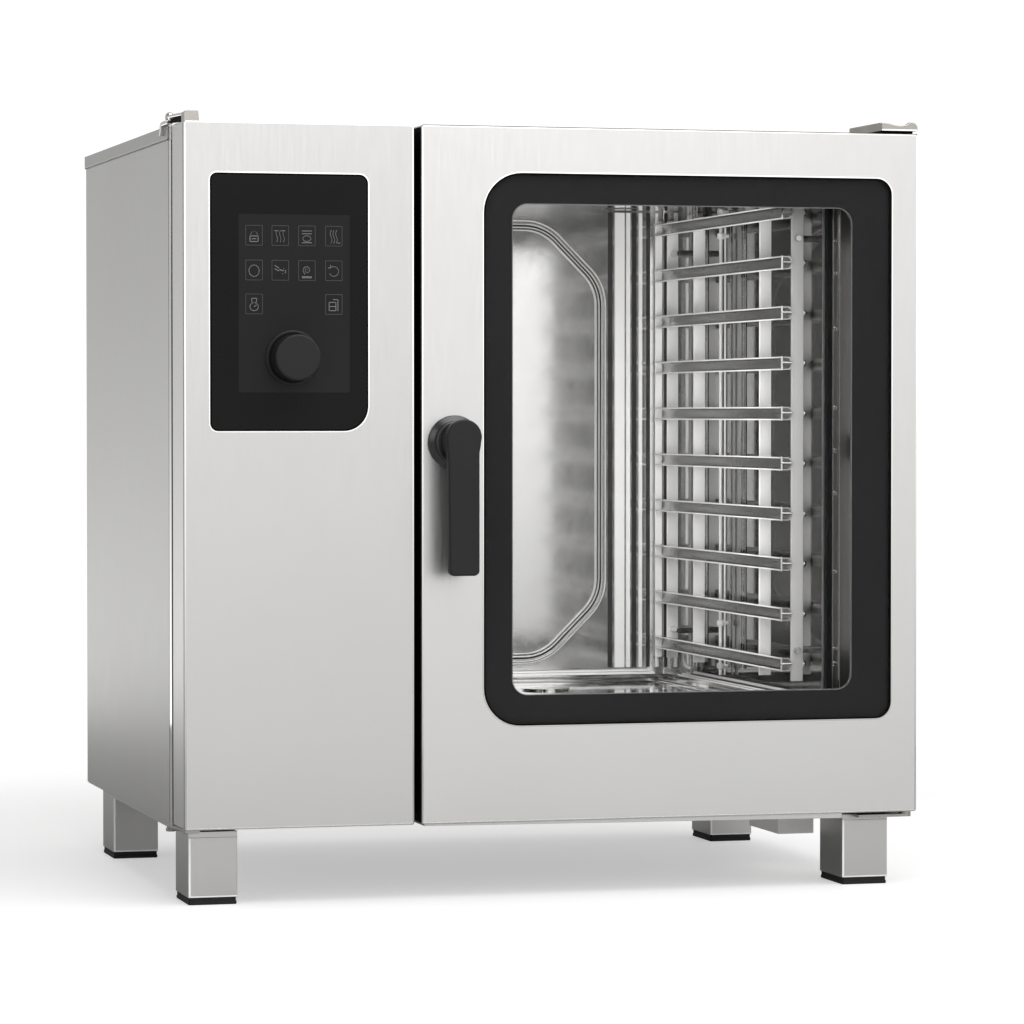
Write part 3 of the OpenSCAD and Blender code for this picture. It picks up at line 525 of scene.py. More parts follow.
def cabinet_edges():
    """Painted highlight down the front frame's left edge, with painted shade lines on both sides of it and
    under the cover.
    """
    x, y, z = span("front_frame")
    cover_y, cover_z = span("top_cover")[1:]
    height = (z[0] + 5.0, cover_z[0] - 2.0)
    edge = [box((-0.3, 0.3), (y[0] + 0.4, y[1] - 1.1), (height[0], height[1] - 1.0))]
    piece("frame_edge_highlight", edge, "cabinet", PAINTED_HIGHLIGHT, bevel=0.2)
    joint_shades = [upright(0.3, y[1] + 0.1, height, 0.9), upright(0.9, y[0] - 0.8, height, 0.9)]
    level = cover_z[0] - 0.6
    for place in (x[0] - 1.3, x[1] + 1.3):
        joint_shades.append(rod((place, cover_y[0] + 1.5, level), (place, cover_y[1] - 2.0, level), 0.9, "y"))
    piece("cabinet_joint_shades", joint_shades, "cabinet", SHADE_LINE)


def leg_edge_highlights():
    """Painted highlights down each leg's left front corner and along its foot."""
    x, y, z = span("legs")
    foot_x, foot_y = span("foot_front_left")[:2]
    wide = foot_x[1] - foot_x[0] + 1.0
    deep = foot_y[1] - foot_y[0] + 1.0
    lines = []
    for left in (x[0], x[1] - wide):
        for front in (y[0], y[1] - deep):
            face = (front - 0.2, front + 0.9)
            lines.append(box((left + 0.4, left + 3.4), face, (z[0] + 1.0, z[1] - 1.0)))
            lines.append(box((left + 3.4, left + wide - 0.6), face, (z[0] + 0.6, z[0] + 2.4)))
    piece("leg_edge_highlights", lines, "cabinet", LIT_STEEL, bevel=0.15)


# ---- Front modules

FOLD = 3.0  # radius of the folded edges
SHEET = 1.5


def rounding(edge, steps):
    """Steps over a rounded front edge, as (how far outwards, how far back), from the face to the side."""
    angles = [math.radians(90 * step / steps) for step in range(steps + 1)]
    return [(-edge * (1 - math.sin(a)), edge * (1 - math.cos(a))) for a in angles]


def loops_round(corners, radii, stations):
    """Loops round a rounded polygon that faces the front, one for each (how far outwards, y)."""
    return [facing(outline(corners, radii, outwards), y) for outwards, y in stations]


def folded(x, z, depth, hole, hole_radii):
    """A front skin folded back all round, with a rounded hole: the loops of its closed sheet."""
    stations = rounding(FOLD, 5) + [(0.0, depth), (-SHEET, depth), (-SHEET, FOLD), (-FOLD, SHEET)]
    loops = loops_round(rectangle(x, z), [FOLD] * 4, stations)
    loops += loops_round(hole, hole_radii, [(0.0, SHEET), (0.0, 0.4), (0.4, 0.0)])
    return skin(loops, ring=True)


def plate(corners, radii, front, back, edge):
    """A flat plate that faces the front, with its front edge rounded."""
    stations = [(outwards, front + y) for outwards, y in rounding(edge, 4)] + [(0.0, back)]
    return skin(loops_round(corners, radii, stations))


def frame_plate(outer, outer_radii, inner, inner_radii, front, back, edge):
    """A flat frame that faces the front, with its front edges rounded."""
    loops = loops_round(outer, outer_radii, [(0.0, back), (0.0, front + edge), (-edge, front)])
    loops += loops_round(inner, inner_radii, [(edge, front), (0.0, front + edge), (0.0, back)])
    return skin(loops, ring=True)


def widened(radii, by):
    """The corner radii of an outline that is moved outwards."""
    return [radius + by for radius in radii]


def band(x, z, radii, outside, inside, front, back, edge):
    """A flat frame along a rounded rectangle, from one distance outside it to another."""
    return frame_plate(rectangle(x, z, outside), widened(radii, outside),
                       rectangle(x, z, inside), widened(radii, inside), front, back, edge)


def glass_lines(name, glass, radii, body):
    """A band of painted highlight round a pane, and a rim of painted shade just inside it."""
    x, y, z = glass
    highlight_band = band(x, z, radii, 2.2, 0.15, -0.5, 0.6, 0.15)
    piece(name + "_highlight", [highlight_band], body, PAINTED_HIGHLIGHT)
    shade_band = band(x, z, radii, 0.0, -2.2, y[0] - 0.06, y[0] + 0.2, 0.03)
    piece(name + "_shade_rim", [shade_band], body, SHADE_BLACK)


# Corner radii of the two glasses, lower left first, anticlockwise
WINDOW_RADII = [56.0, 25.0, 24.0, 58.0]
PANEL_RADII = [11.5, 36.0, 13.0, 10.0]


def door_front():
    """Door skin with the opening for its window."""
    x, y, z = span("door_skin")
    glass_x, glass_z = span("outer_glass")[::2]
    hole = rectangle(glass_x, glass_z, 0.6)
    bent_edges("door", x, z, "door")
    piece("door_skin", [folded(x, z, y[1], hole, WINDOW_RADII)], "door", DOOR_SKIN,
          stands_for=["door_skin"])


def window():
    """Outer pane with its black border, a thin painted highlight round it and a line round the view."""
    glass = span("outer_glass")
    x, y, z = glass
    back = span("window_border")[1][1]
    view_x = (x[0] + 44.0, x[1] - 60.7)
    view_z = (z[0] + 44.0, z[1] - 44.0)
    view_radii = [24.0] * 4
    glass_lines("window", glass, WINDOW_RADII, "door")
    line = band(view_x, view_z, view_radii, 0.0, -1.3, y[1] + 0.02, back, 0.2)
    piece("view_line", [line], "door", LINE)
    pane = plate(rectangle(x, z), WINDOW_RADII, y[0], y[1], 0.8)
    piece("outer_pane", [pane], "door", PANE, stands_for=["outer_glass"])
    border = frame_plate(rectangle(x, z, -0.2), widened(WINDOW_RADII, -1.0),
                         rectangle(view_x, view_z), view_radii, y[1] + 0.3, back, 0.3)
    piece("window_border", [border], "door", BORDER, stands_for=["window_border"])
    dot = [(16.5, y[1] + 0.4), (16.5, y[1] + 0.1), (16.3, y[1] + 0.02)]
    piece("sensor_dot", [turned(dot, (x[1] - 23.4, z[1] - 70.7), "y")], "door", FIELD_GLASS)


def panel_front():
    """Control panel skin, its glass with the touch field, and the marks of the keys."""
    x, y, z = span("panel_skin")
    glass = span("control_glass")
    glass_x, glass_y, glass_z = glass
    hole = rectangle(glass_x, glass_z, -3.0)
    hole_radii = [max(radius - 3.0, 2.0) for radius in PANEL_RADII]
    bent_edges("control_panel", x, z, "control_panel")
    piece("control_panel_skin", [folded(x, z, y[1], hole, hole_radii)], "control_panel", PANEL_SKIN,
          stands_for=["panel_skin"])
    glass_lines("glass", glass, PANEL_RADII, "control_panel")
    pane = plate(rectangle(glass_x, glass_z), PANEL_RADII, glass_y[0], glass_y[1], 0.7)
    piece("control_glass", [pane], "control_panel", PANEL_GLASS,
          stands_for=["control_glass"])
    front = glass_y[0] - 0.12
    corners = rectangle((glass_x[0] + 41.6, glass_x[1] - 27.5), (glass_z[0] + 55.6, glass_z[1] - 58.8))
    field = plate(corners, [2.0] * 4, front, glass_y[0] + 0.3, 0.05)
    piece("touch_field", [field], "control_panel", FIELD_GLASS)
    key_marks(front)


# Middles of the touch keys
KEY_COLUMNS = [102.6, 141.1, 180.3, 220.1]
KEY_ROWS = [967.7, 917.7, 869.0]


def wave(x, low, high, swing):
    """A rising wavy line."""
    return [(x + swing * math.sin(2 * math.pi * i / 12), low + (high - low) * i / 12) for i in range(13)]


def spiral():
    """Nearly two turns outwards."""
    points = []
    for i in range(25):
        radius = 1.2 + 5.0 * i / 24
        angle = 10.5 * i / 24
        points.append((radius * math.cos(angle), 1.5 + radius * math.sin(angle)))
    return points


def key_signs():
    """Plain signs as (column, row, lines), the lines in millimetres round each key's middle."""
    lock = [[(-6, -8), (6, -8), (6, 0), (-6, 0), (-6, -8)], arc(0, 1, 5, 10, 170, 1.2), [(-3, -4), (3, -4)]]
    steam = [wave(-5, -8, 8, 1.0), wave(0, -8, 8, 1.0), wave(5, -8, 8, 1.0)]
    steam += [[(-8, 8), (-3, 8)], [(2, 8), (7, 8)]]
    oven = [[(-7, 8), (7, 8)], [(-7, 4), (7, 4)], arc(0, -3, 6, 0, 360, 0.7), [(-7, -9), (7, -9)]]
    heat = [wave(-4, -9, 9, 1.2), wave(0, -9, 9, 1.2), wave(4, -9, 9, 1.2), [(6, -9), (9, -9)]]
    ring = [arc(0, 0, 7.5, 0, 360, 1.1, 20)]
    wind = [[(-8, 8), (-2, 4)], [(-8, 3), (-2, 0)], [(-1, 2), (5, 0)]]
    wind += [arc(3, 0, 4, -90, 60), [(7, -3), (8, 1)]]
    fan = [spiral(), [(-7, -8), (7, -8)], [(-7, -9.5), (7, -9.5)]]
    back = [arc(0, 0, 7, -150, 130, 1.0, 18), [(-8, 5), (-4.5, 5.4), (-5, 9)]]
    timer = [[(-4, 9), (4, 9), (3, 3), (-3, 3), (-4, 9)], arc(0, -3, 6.2, 0, 360, 0.95), [(0, -3), (3, -1)]]
    steps = [[(-7, -8), (-7, 4), (3, 4)], [(-7, -2), (2, -2)], [(3, 4), (3, -8), (-7, -8)]]
    steps += [[(6, -8), (6, 8)], [(-1, 8), (6, 8)]]
    return [(0, 0, lock), (1, 0, steam), (2, 0, oven), (3, 0, heat), (0, 1, ring), (1, 1, wind),
            (2, 1, fan), (3, 1, back), (0, 2, timer), (3, 2, steps)]


def ribbon(points, width, front):
    """A flat printed line along points, as small overlapping blocks."""
    solids = []
    for start, end in zip(points, points[1:]):
        along = Vector(end) - Vector(start)
        if along.length < 1e-6:
            continue
        along.normalize()
        side = Vector((-along.y, along.x)) * width / 2
        reach = along * width * 0.35
        a = Vector(start) - reach
        b = Vector(end) + reach
        quad = [a - side, b - side, b + side, a + side]
        solids.append(skin([facing(quad, front), facing(quad, front + 0.2)]))
    return solids


def key_marks(front):
    """Thin frames and signs of the touch keys."""
    frames = []
    signs = []
    for column, row, lines in key_signs():
        cx = KEY_COLUMNS[column]
        cz = KEY_ROWS[row]
        outer = rectangle((cx - 12.6, cx + 12.6), (cz - 14.6, cz + 14.6))
        inner = rectangle((cx - 11.9, cx + 11.9), (cz - 13.9, cz + 13.9))
        frames.append(frame_plate(outer, [1.2] * 4, inner, [0.8] * 4, front - 0.05, front + 0.1, 0.02))
        for line in lines:
            signs.extend(ribbon([(cx + a, cz + b - 1.0) for a, b in line], 0.95, front - 0.06))
    piece("key_frames", frames, "control_panel", FRAME_MARKS, smooth=20.0)
    piece("key_signs", signs, "control_panel", MARKS, smooth=20.0)


def dial():
    """Turned dial knob on its base ring."""
    x, y, z = span("dial_knob")
    at = ((x[0] + x[1]) / 2, (z[0] + z[1]) / 2)
    r = (x[1] - x[0]) / 2
    edge = 2.8
    profile = [(r - 5.0, y[1]), (r - 0.6, y[1]), (r, y[1] - 0.6), (r, y[0] + 3.2)]
    for step in range(1, 7):
        angle = math.radians(90 * step / 6)
        profile.append((r - edge + edge * math.cos(angle), y[0] + 3.2 - edge * math.sin(angle)))
    profile += [(r - 5.0, y[0] + 0.25), (r - 8.0, y[0] + 0.6)]
    piece("dial_knob", [turned(profile, at, "y")], "dial", BLACK, stands_for=["dial_knob"])
    ring_x, ring_y = span("dial_ring")[:2]
    r = (ring_x[1] - ring_x[0]) / 2
    front, back = ring_y
    profile = [(r, back), (r, front + 1.2), (r - 0.5, front + 0.4), (r - 1.6, front)]
    profile += [(r - 3.5, front), (r - 4.5, front + 0.6), (r - 4.5, back)]
    ring = skin([circle(radius, at, "y", place) for radius, place in profile], ring=True)
    piece("dial_ring", [ring], "control_panel", BLACK, stands_for=["dial_ring"])


def handle():
    """Stepped rosette and the lever that hangs from its hub."""
    x, y, z = span("handle_rosette")
    at = ((x[0] + x[1]) / 2, (z[0] + z[1]) / 2)
    r = (x[1] - x[0]) / 2 + 1.3  # a little wider than in the CAD
    profile = [(r - 1.5, 0.0), (r - 0.2, 0.0), (r, -0.8), (r, -3.4), (r - 0.5, -4.4), (r - 1.3, -5.0)]
    profile += [(r - 7.6, -8.8), (r - 8.6, -10.0), (r - 8.6, -18.2), (r - 9.4, -19.6), (r - 11.0, -20.0)]
    profile.append((9.0, -20.0))
    piece("handle_rosette", [turned(profile, at, "y")], "door", ROSETTE,
          stands_for=["handle_rosette"])
    y, z = span("handle_lever")[1:]
    low = z[0]
    left = at[0] - 23.4
    right = at[0] + 23.3
    front = y[0]
    back = front + 16.0
    blade = arc(at[0] + 0.6, at[1] + 7.8, 26.2, 0, 180, count=16)
    blade += [(left - 1.7, at[1] - 3), (left, at[1] - 28), (left + 1.6, low + 9)]
    blade += arc(left + 9.8, low + 8, 8, 180, 270, count=6)
    blade += arc(right - 8.0, low + 8, 8, 270, 360, count=6)
    blade += [(right, at[1] - 16), (right + 1.2, at[1] - 7)]
    loops = [facing(shrunk(blade, -outwards), front + place) for outwards, place in rounding(3.0, 5)]
    loops.append(facing(blade, back - 2.0))
    loops.append(facing(shrunk(blade, 0.8), back - 0.6))
    loops.append(facing(shrunk(blade, 2.2), back))
    hub = turned([(24.2, back - 2), (24.6, -23.2), (23.6, -22.2), (20.0, -22.0)], at, "y")
    spindle = rod((at[0], -22.5, at[1]), (at[0], y[1], at[1]), 8.0, "y")
    piece("handle_lever", [skin(loops), hub, spindle], "handle", BLACK,
          stands_for=["handle_lever"])


def shrunk(points, by):
    """A closed outline moved inwards by a margin, point for point."""
    moved = []
    count = len(points)
    for i in range(count):
        before = (Vector(points[i]) - Vector(points[i - 1])).normalized()
        after = (Vector(points[(i + 1) % count]) - Vector(points[i])).normalized()
        along = (before + after).normalized()
        scale = by / max(along.dot(after), 0.5)
        moved.append((points[i][0] - along.y * scale, points[i][1] + along.x * scale))
    return moved


# ---- Cavity

CORNER_RADIUS = 72.0
CORNER_MIDDLE = (WALL_RIGHT - CORNER_RADIUS, WALL_REAR - CORNER_RADIUS)


def rear_plan(left, outward):
    """Plan of the rear wall with its rounded corner into the right wall, moved outwards."""
    return [(left, WALL_REAR + outward)] + arc(*CORNER_MIDDLE, CORNER_RADIUS + outward, 90, 0, count=24)


def rear_wall():
    """Rear wall with its rounded corner, and its pressed crest, with thin ridges of painted highlight and of
    painted shade along the crest.
    """
    x, z = span("cavity_rear")[::2]
    section = rear_plan(x[0], 0.0) + list(reversed(rear_plan(x[0], 1.2)))
    wall = skin([[spot(a, b, level) for a, b in section] for level in z])
    piece("rear_wall", [wall], "cabinet", REAR, smooth=50.0, stands_for=["cavity_rear"])
    piece("rear_crest", [crest(CREST_SECTION)], "cabinet", MIRROR, smooth=60.0)
    edges = [crest(ridge(offset, 0.9, 4.9)) for offset in (-8.2, -3.4, 1.6, 8.0)]
    piece("crest_highlights", edges, "cabinet", LIT_STEEL, smooth=60.0)
    crest_shades = [crest(ridge(offset, 0.8, 4.6)) for offset in (-6.0, -0.6, 5.0)]
    piece("crest_shade_lines", crest_shades, "cabinet", SHADE_LINE, smooth=60.0)


CREST_X = (425.0, 856.0)
CREST_Z = (302.0, 1025.0)
CREST_CUT = 100.0
CREST_SECTION = [(-9.0, -0.5), (-8.0, 1.2), (-6.2, 3.6), (-4.4, 4.4), (-2.6, 3.4), (-1.0, 1.2), (0.0, 0.8),
                 (1.0, 1.2), (2.6, 3.4), (4.4, 4.4), (6.2, 3.6), (8.0, 1.2), (9.0, -0.5)]


def ridge(offset, half, height):
    """Section of a thin ridge along the crest, at an offset from its middle line."""
    left = offset - half
    right = offset + half
    return [(left, 0.0), (left, height - 0.6), (offset, height), (right, height - 0.6), (right, 0.0)]


def crest(section):
    """A pressed shape with this section along a rounded octagon on the rear wall."""
    left, right = CREST_X
    low, high = CREST_Z
    cut = CREST_CUT
    corners = [(left + cut, low), (right - cut, low), (right, low + cut), (right, high - cut),
               (right - cut, high), (left + cut, high), (left, high - cut), (left, low + cut)]
    loops = [facing(outline(corners, [80.0] * 8, offset), WALL_REAR - height) for offset, height in section]
    return skin(loops, ring=True)


# Place along the right wall and radius of each bead
WALL_BEADS = ((215.0, 3.0), (226.0, 1.6), (352.0, 3.5), (392.0, 2.0), (470.0, 4.0), (486.0, 2.0),
              (540.0, 2.4), (668.0, 4.0), (690.0, 2.0))


def wall_beads():
    """Upright beads on the right wall, and stripes of painted reflection, dark and bright, in the corner
    beside it.
    """
    height = (285.0, 1048.0)
    shade_lines = []
    highlight_stripes = []
    for x in ((869.0, 877.0), (911.0, 919.0)):
        shade_lines.append(box(x, (WALL_REAR - 1.4, WALL_REAR + 0.6), height))
    for x in ((881.0, 898.0), (901.0, 908.0), (923.0, 929.0)):
        highlight_stripes.append(box(x, (WALL_REAR - 2.0, WALL_REAR + 0.6), height))
    for angle, radius, group in ((84, 3.4, shade_lines), (72, 3.4, highlight_stripes), (60, 3.0, shade_lines), (46, 3.6, highlight_stripes)):
        turn = math.radians(angle)
        x = CORNER_MIDDLE[0] + (CORNER_RADIUS + 0.5) * math.cos(turn)
        y = CORNER_MIDDLE[1] + (CORNER_RADIUS + 0.5) * math.sin(turn)
        group.append(upright(x, y, height, radius))
    piece("corner_shade_stripes", shade_lines, "cabinet", SHADE_LINE, bevel=0.8)
    piece("corner_highlight_stripes", highlight_stripes, "cabinet", LIT_STEEL, bevel=0.8)
    beads = [upright(WALL_RIGHT + 0.6, place, (300.0, 1035.0), radius) for place, radius in WALL_BEADS]
    piece("wall_beads", beads, "cabinet", MIRROR)


def floor_rim_highlights():
    """Painted highlight lines and painted shade lines along the floor tray's edges at the foot of the right
    wall and of the rear wall.
    """
    rim_highlights = []
    dark = []
    edges = ((rim_highlights, 8.0, 3.0, 3.2), (rim_highlights, 30.0, 1.5, 1.8), (rim_highlights, 38.0, 0.5, 1.4),
             (dark, 14.0, 0.5, 2.4), (dark, 34.0, 0.0, 1.6))
    for group, inset, height, radius in edges:
        x = WALL_RIGHT - inset
        y = WALL_REAR - inset
        z = FLOOR_TOP + height
        group.append(rod((x, 104.0, z), (x, 705.0, z), radius, "y"))
        group.append(rod((380.0, y, z), (940.0, y, z), radius, "x"))
    piece("floor_rim_highlights", rim_highlights, "cabinet", LIT_STEEL)
    piece("floor_groove_shades", dark, "cabinet", SHADE_LINE)


def probe_rod():
    """Two thin upright rods near the right wall, with fittings that hold them to it."""
    x = WALL_RIGHT - 14.0
    y = 552.0
    solids = [upright(x, y, (285.0, 1042.0), 2.6), upright(x + 7.5, y, (285.0, 1042.0), 1.6)]
    for height in (300.0, 370.0, 1000.0, 1040.0):
        collar = [(4.0, height - 5), (6.0, height - 3), (6.0, height + 3), (4.0, height + 5)]
        solids.append(turned(collar, (x, y), "z"))
        solids.append(rod((x, y, height), (WALL_RIGHT - 0.5, y, height), 2.8, "x"))
    piece("probe_rod", solids, "cabinet", LIT_STEEL)


RAIL_COUNT = 10
RAIL_PITCH = 76.5
RAIL_HALF = 10.0  # half the height of a rail
RAIL_TOP = 6.0  # from the top of the posts down to the first rail


def rail_heights(z):
    """The middle height of each rail, from the top down."""
    return [z[1] - RAIL_TOP - RAIL_HALF - RAIL_PITCH * level for level in range(RAIL_COUNT)]


def post_studs():
    """Domed studs on the right rack's front post, and the clips at the rails' front ends."""
    x, y, z = span("rack_right")
    studs = []
    clips = []
    for middle in rail_heights(z):
        dome = [(3.2, x[1]), (4.6, x[1] + 0.6)] + arc(0.0, x[1] + 2.2, 4.8, 0, 85, 0.75, 5)
        studs.append(turned(dome, (y[0] + 6.0, middle), "x"))
        clips.append(box((x[0] - 0.6, x[0] + 2.2), (y[0] - 0.8, y[0] + 1.2), (middle - 11.0, middle + 11.0)))
        clips.append(rod((x[0], y[0] + 1.0, middle + 1.0), (x[1] - 18.0, y[0] + 1.0, middle + 1.0), 2.2, "x"))
    piece("post_studs", studs, "rack_right", BRIGHT)
    piece("rail_clips", clips, "rack_right", BRIGHT, bevel=0.4)


def mouth_screws():
    """Round heads down the front frame beside the mouth, and the thin rods of its seal holder."""
    face = FRAME_FACE
    head = [(3.4, face), (3.4, face - 1.0), (2.2, face - 1.8), (0.6, face - 2.0)]
    heights = (330.0, 352.0, 470.0, 590.0, 655.0, 720.0, 840.0, 925.0, 975.0)
    solids = [turned(head, (1024.0, height), "y") for height in heights]
    solids.append(upright(1019.5, face - 1.6, (290.0, 1038.0), 1.4))
    solids.append(upright(1030.0, face - 1.6, (285.0, 1043.0), 1.5))
    piece("mouth_screws", solids, "cabinet", BRIGHT)


def shelf_rack(side):
    """One rack: its rails with painted highlight lines along their lips, and its four posts and the strip
    along the rails' rear ends in the painted lit steel.
    """
    x, y, z = span("rack_" + side)
    sign = 1.0 if side == "right" else -1.0
    web = x[0] if side == "right" else x[1]
    rails = []
    lip_highlights = []
    for middle in rail_heights(z):
        rails.append(rail(web, sign, middle, y))
        for height in (middle + 9.1, middle - 9.1):
            lip_highlights.append(rod((web + sign * 0.6, y[0], height), (web + sign * 0.6, y[1], height), 1.15, "y"))
    post_x = sorted((web + sign * 18.0, web + sign * 37.0))
    strip_x = sorted((web + sign * 1.5, web + sign * 13.5))
    posts = [box(post_x, (place, place + 4.0), z) for place in (y[0] + 4.0, 270.0, 606.0, y[1] - 14.0)]
    posts.append(box(strip_x, (y[1] + 0.6, y[1] + 2.6), z))
    piece("rack_rails_" + side, rails, "rack_" + side, RAIL, stands_for=["rack_" + side])
    piece("rack_lip_highlights_" + side, lip_highlights, "rack_" + side, LIT_STEEL)
    piece("rack_posts_" + side, posts, "rack_" + side, LIT_STEEL, bevel=0.5)


def rail(web, sign, middle, y):
    """One channel rail, open towards the cavity, with a soft outer profile."""
    half = RAIL_HALF
    profile = []
    for step in range(9):
        angle = math.radians(-90 + 180 * step / 8)
        profile.append((12.0 + 6.0 * math.cos(angle), half * math.sin(angle)))
    profile += [(0.5, half), (0.0, half - 0.8), (0.0, half - 2.0), (11.0, half - 1.6)]
    profile += [(14.0, half - 4.0), (16.2, 0.0), (14.0, -half + 4.0), (11.0, -half + 1.6)]
    profile += [(0.0, -half + 2.0), (0.0, -half + 0.8), (0.5, -half)]
    return skin([[spot(web + sign * a, place, middle + b) for a, b in profile] for place in y])


# ---- Hinges

def slab(plan, z):
    """A flat block with a plan outline in x and y."""
    return skin([[spot(a, b, level) for a, b in plan] for level in z])


def outlined(points, y):
    """A block with a front outline in x and z."""
    return skin([facing(points, y[0]), facing(points, y[1])])


def door_bracket():
    """Cast bracket over the door's corner: a lip with a dip, a plate, a rib, a foot, and the pin; a
    near-black block of painted shadow under it, and a painted highlight along its front edge.
    """
    left, right = span("door_bracket_upper")[0]
    bush_x, bush_y = span("door_bushes")[:2]
    top = COVER_TOP
    from_right = [(0.6, 4.5), (0.0, 6.0), (0.4, 12.0), (3.0, 15.0), (6.0, 17.6), (12.0, 18.2), (15.0, 16.0),
                  (19.0, 13.6), (27.0, 12.6), (36.0, 13.2), (45.0, 15.4)]
    lip = [(left, top + 4.5)] + [(right - a, top + b) for a, b in from_right]
    lip += [(left + 5.0, top + 16.8), (left + 1.5, top + 16.6), (left, top + 15.0)]
    cast = [outlined(lip, (0.0, 9.0))]
    middle = [(left, 6.0), (right, 6.0), (right, 136.0), (left - 2.0, 136.0)]
    cast.append(slab(middle, (top + 4.5, top + 12.0)))
    rib = [(left, 7.0), (left + 7.0, 7.0), (left + 5.0, 136.0), (left - 2.0, 136.0)]
    cast.append(slab(rib, (top + 5.0, top + 17.0)))
    cast.append(slab([(1074.0, 112.0), (right, 112.0), (right, 150.0), (1080.0, 150.0)], (top, top + 4.5)))
    piece("door_hinge_bracket", cast, "cabinet", CAST, bevel=1.0,
          stands_for=["door_bracket_upper"])
    # A near-black block of painted shadow under the bracket.
    shadow_block = [box((left + 1.0, right - 7.0), (3.0, 110.0), (top + 1.4, top + 4.4))]
    piece("bracket_shadow", shadow_block, "cabinet", SHADE_BLACK, bevel=0.3)
    # A strip of painted highlight along the bracket's front edge.
    edge = [box((left + 0.6, right - 1.2), (-0.3, 0.9), (top + 4.7, top + 6.9))]
    piece("bracket_edge_highlight", edge, "cabinet", PAINTED_HIGHLIGHT, bevel=0.15)
    axis = ((bush_x[0] + bush_x[1]) / 2, (bush_y[0] + bush_y[1]) / 2)
    shank = [(4.4, top - 24.0), (5.0, top - 23.0), (5.0, top + 4.0), (5.0, top + 4.5)]
    collar = [(8.0, top + 0.3), (9.0, top + 0.8), (9.0, top + 4.0), (8.6, top + 4.4)]
    pin = [turned(shank, axis, "z"), turned(collar, axis, "z")]
    piece("door_hinge_pin", pin, "cabinet", BUSH)
    screws = []
    for place, level in ((120.0, top + 12.0), (142.0, top + 4.5), (60.0, top + 12.0)):
        head = [(5.6, level), (5.6, level + 2.6), (4.6, level + 3.6), (2.6, level + 3.6), (2.6, level + 2.2)]
        screws.append(turned(head, (1098.0, place), "z"))
    piece("bracket_screws", screws, "cabinet", BRIGHT)


PANEL_AXIS = (-3.3, 91.0)


def panel_hinge():
    """Lugs and arms above and below the control panel, a near-black block of painted shadow under the upper
    arm, the domed knuckle on its axis, and the upper strap.
    """
    top = COVER_TOP
    lug = [(1.3, top), (23.8, top), (22.6, top + 14.6), (21.6, top + 15.4), (7.0, top + 15.6)]
    lug += [(3.0, top + 13.4), (1.3, top + 11.0)]
    piece("panel_hinge_upper", [outlined(lug, (5.0, 24.0))], "control_panel", CAST,
          bevel=1.2, stands_for=["panel_hinge_arms"])
    arm = [(3.0, 22.0), (19.0, 22.0), (11.0, 58.0), (2.6, 94.0), (-3.3, 97.0), (-9.2, 92.0), (-7.0, 84.0)]
    piece("panel_hinge_arm", [slab(arm, (top + 8.6, top + 13.4))], "control_panel", BRIGHT,
          bevel=1.4)
    # A near-black block of painted shadow under the arm.
    shadow_block = [(4.0, 24.0), (17.0, 24.0), (9.0, 56.0), (2.0, 80.0), (-3.0, 80.0), (-1.0, 60.0)]
    piece("panel_hinge_shadow", [slab(shadow_block, (top + 1.6, top + 8.4))], "control_panel", SHADE_BLACK,
          bevel=0.6)
    dome = [(6.0, top + 5.0), (6.4, top + 5.6), (6.4, top + 12.0)]
    for angle in (20, 40, 60, 78):
        turn = math.radians(angle)
        dome.append((6.4 * math.cos(turn), top + 12.0 + 6.0 * math.sin(turn)))
    knuckle = turned(dome, PANEL_AXIS, "z")
    piece("panel_hinge_knuckle", [knuckle], "control_panel", BRIGHT)
    strap = [(86.0, top + 0.4), (86.0, top + 6.4), (128.0, top + 6.4), (138.0, top + 5.0), (144.0, top + 1.0)]
    strap += [(150.0, top - 9.0), (149.0, top - 13.0), (144.0, top - 13.6), (141.0, top - 11.0)]
    strap += [(137.0, top - 3.0), (132.0, top + 0.2), (122.0, top + 0.4)]
    loops = [[spot(place, a, b) for a, b in strap] for place in (-8.6, 1.2)]
    piece("panel_strap_upper", [skin(loops)], "cabinet", BRIGHT, bevel=1.2,
          stands_for=["panel_strap_upper"])
    low = [(1.3, 5.0), (23.5, 5.0), (23.5, 24.0), (7.0, 62.0), (2.6, 94.0), (-3.3, 97.4), (-9.7, 91.0)]
    low.append((1.3, 40.0))
    piece("panel_hinge_lower", [slab(low, (107.0, 111.0))], "control_panel", CAST, bevel=0.8)


# ---- Carried-over nodes

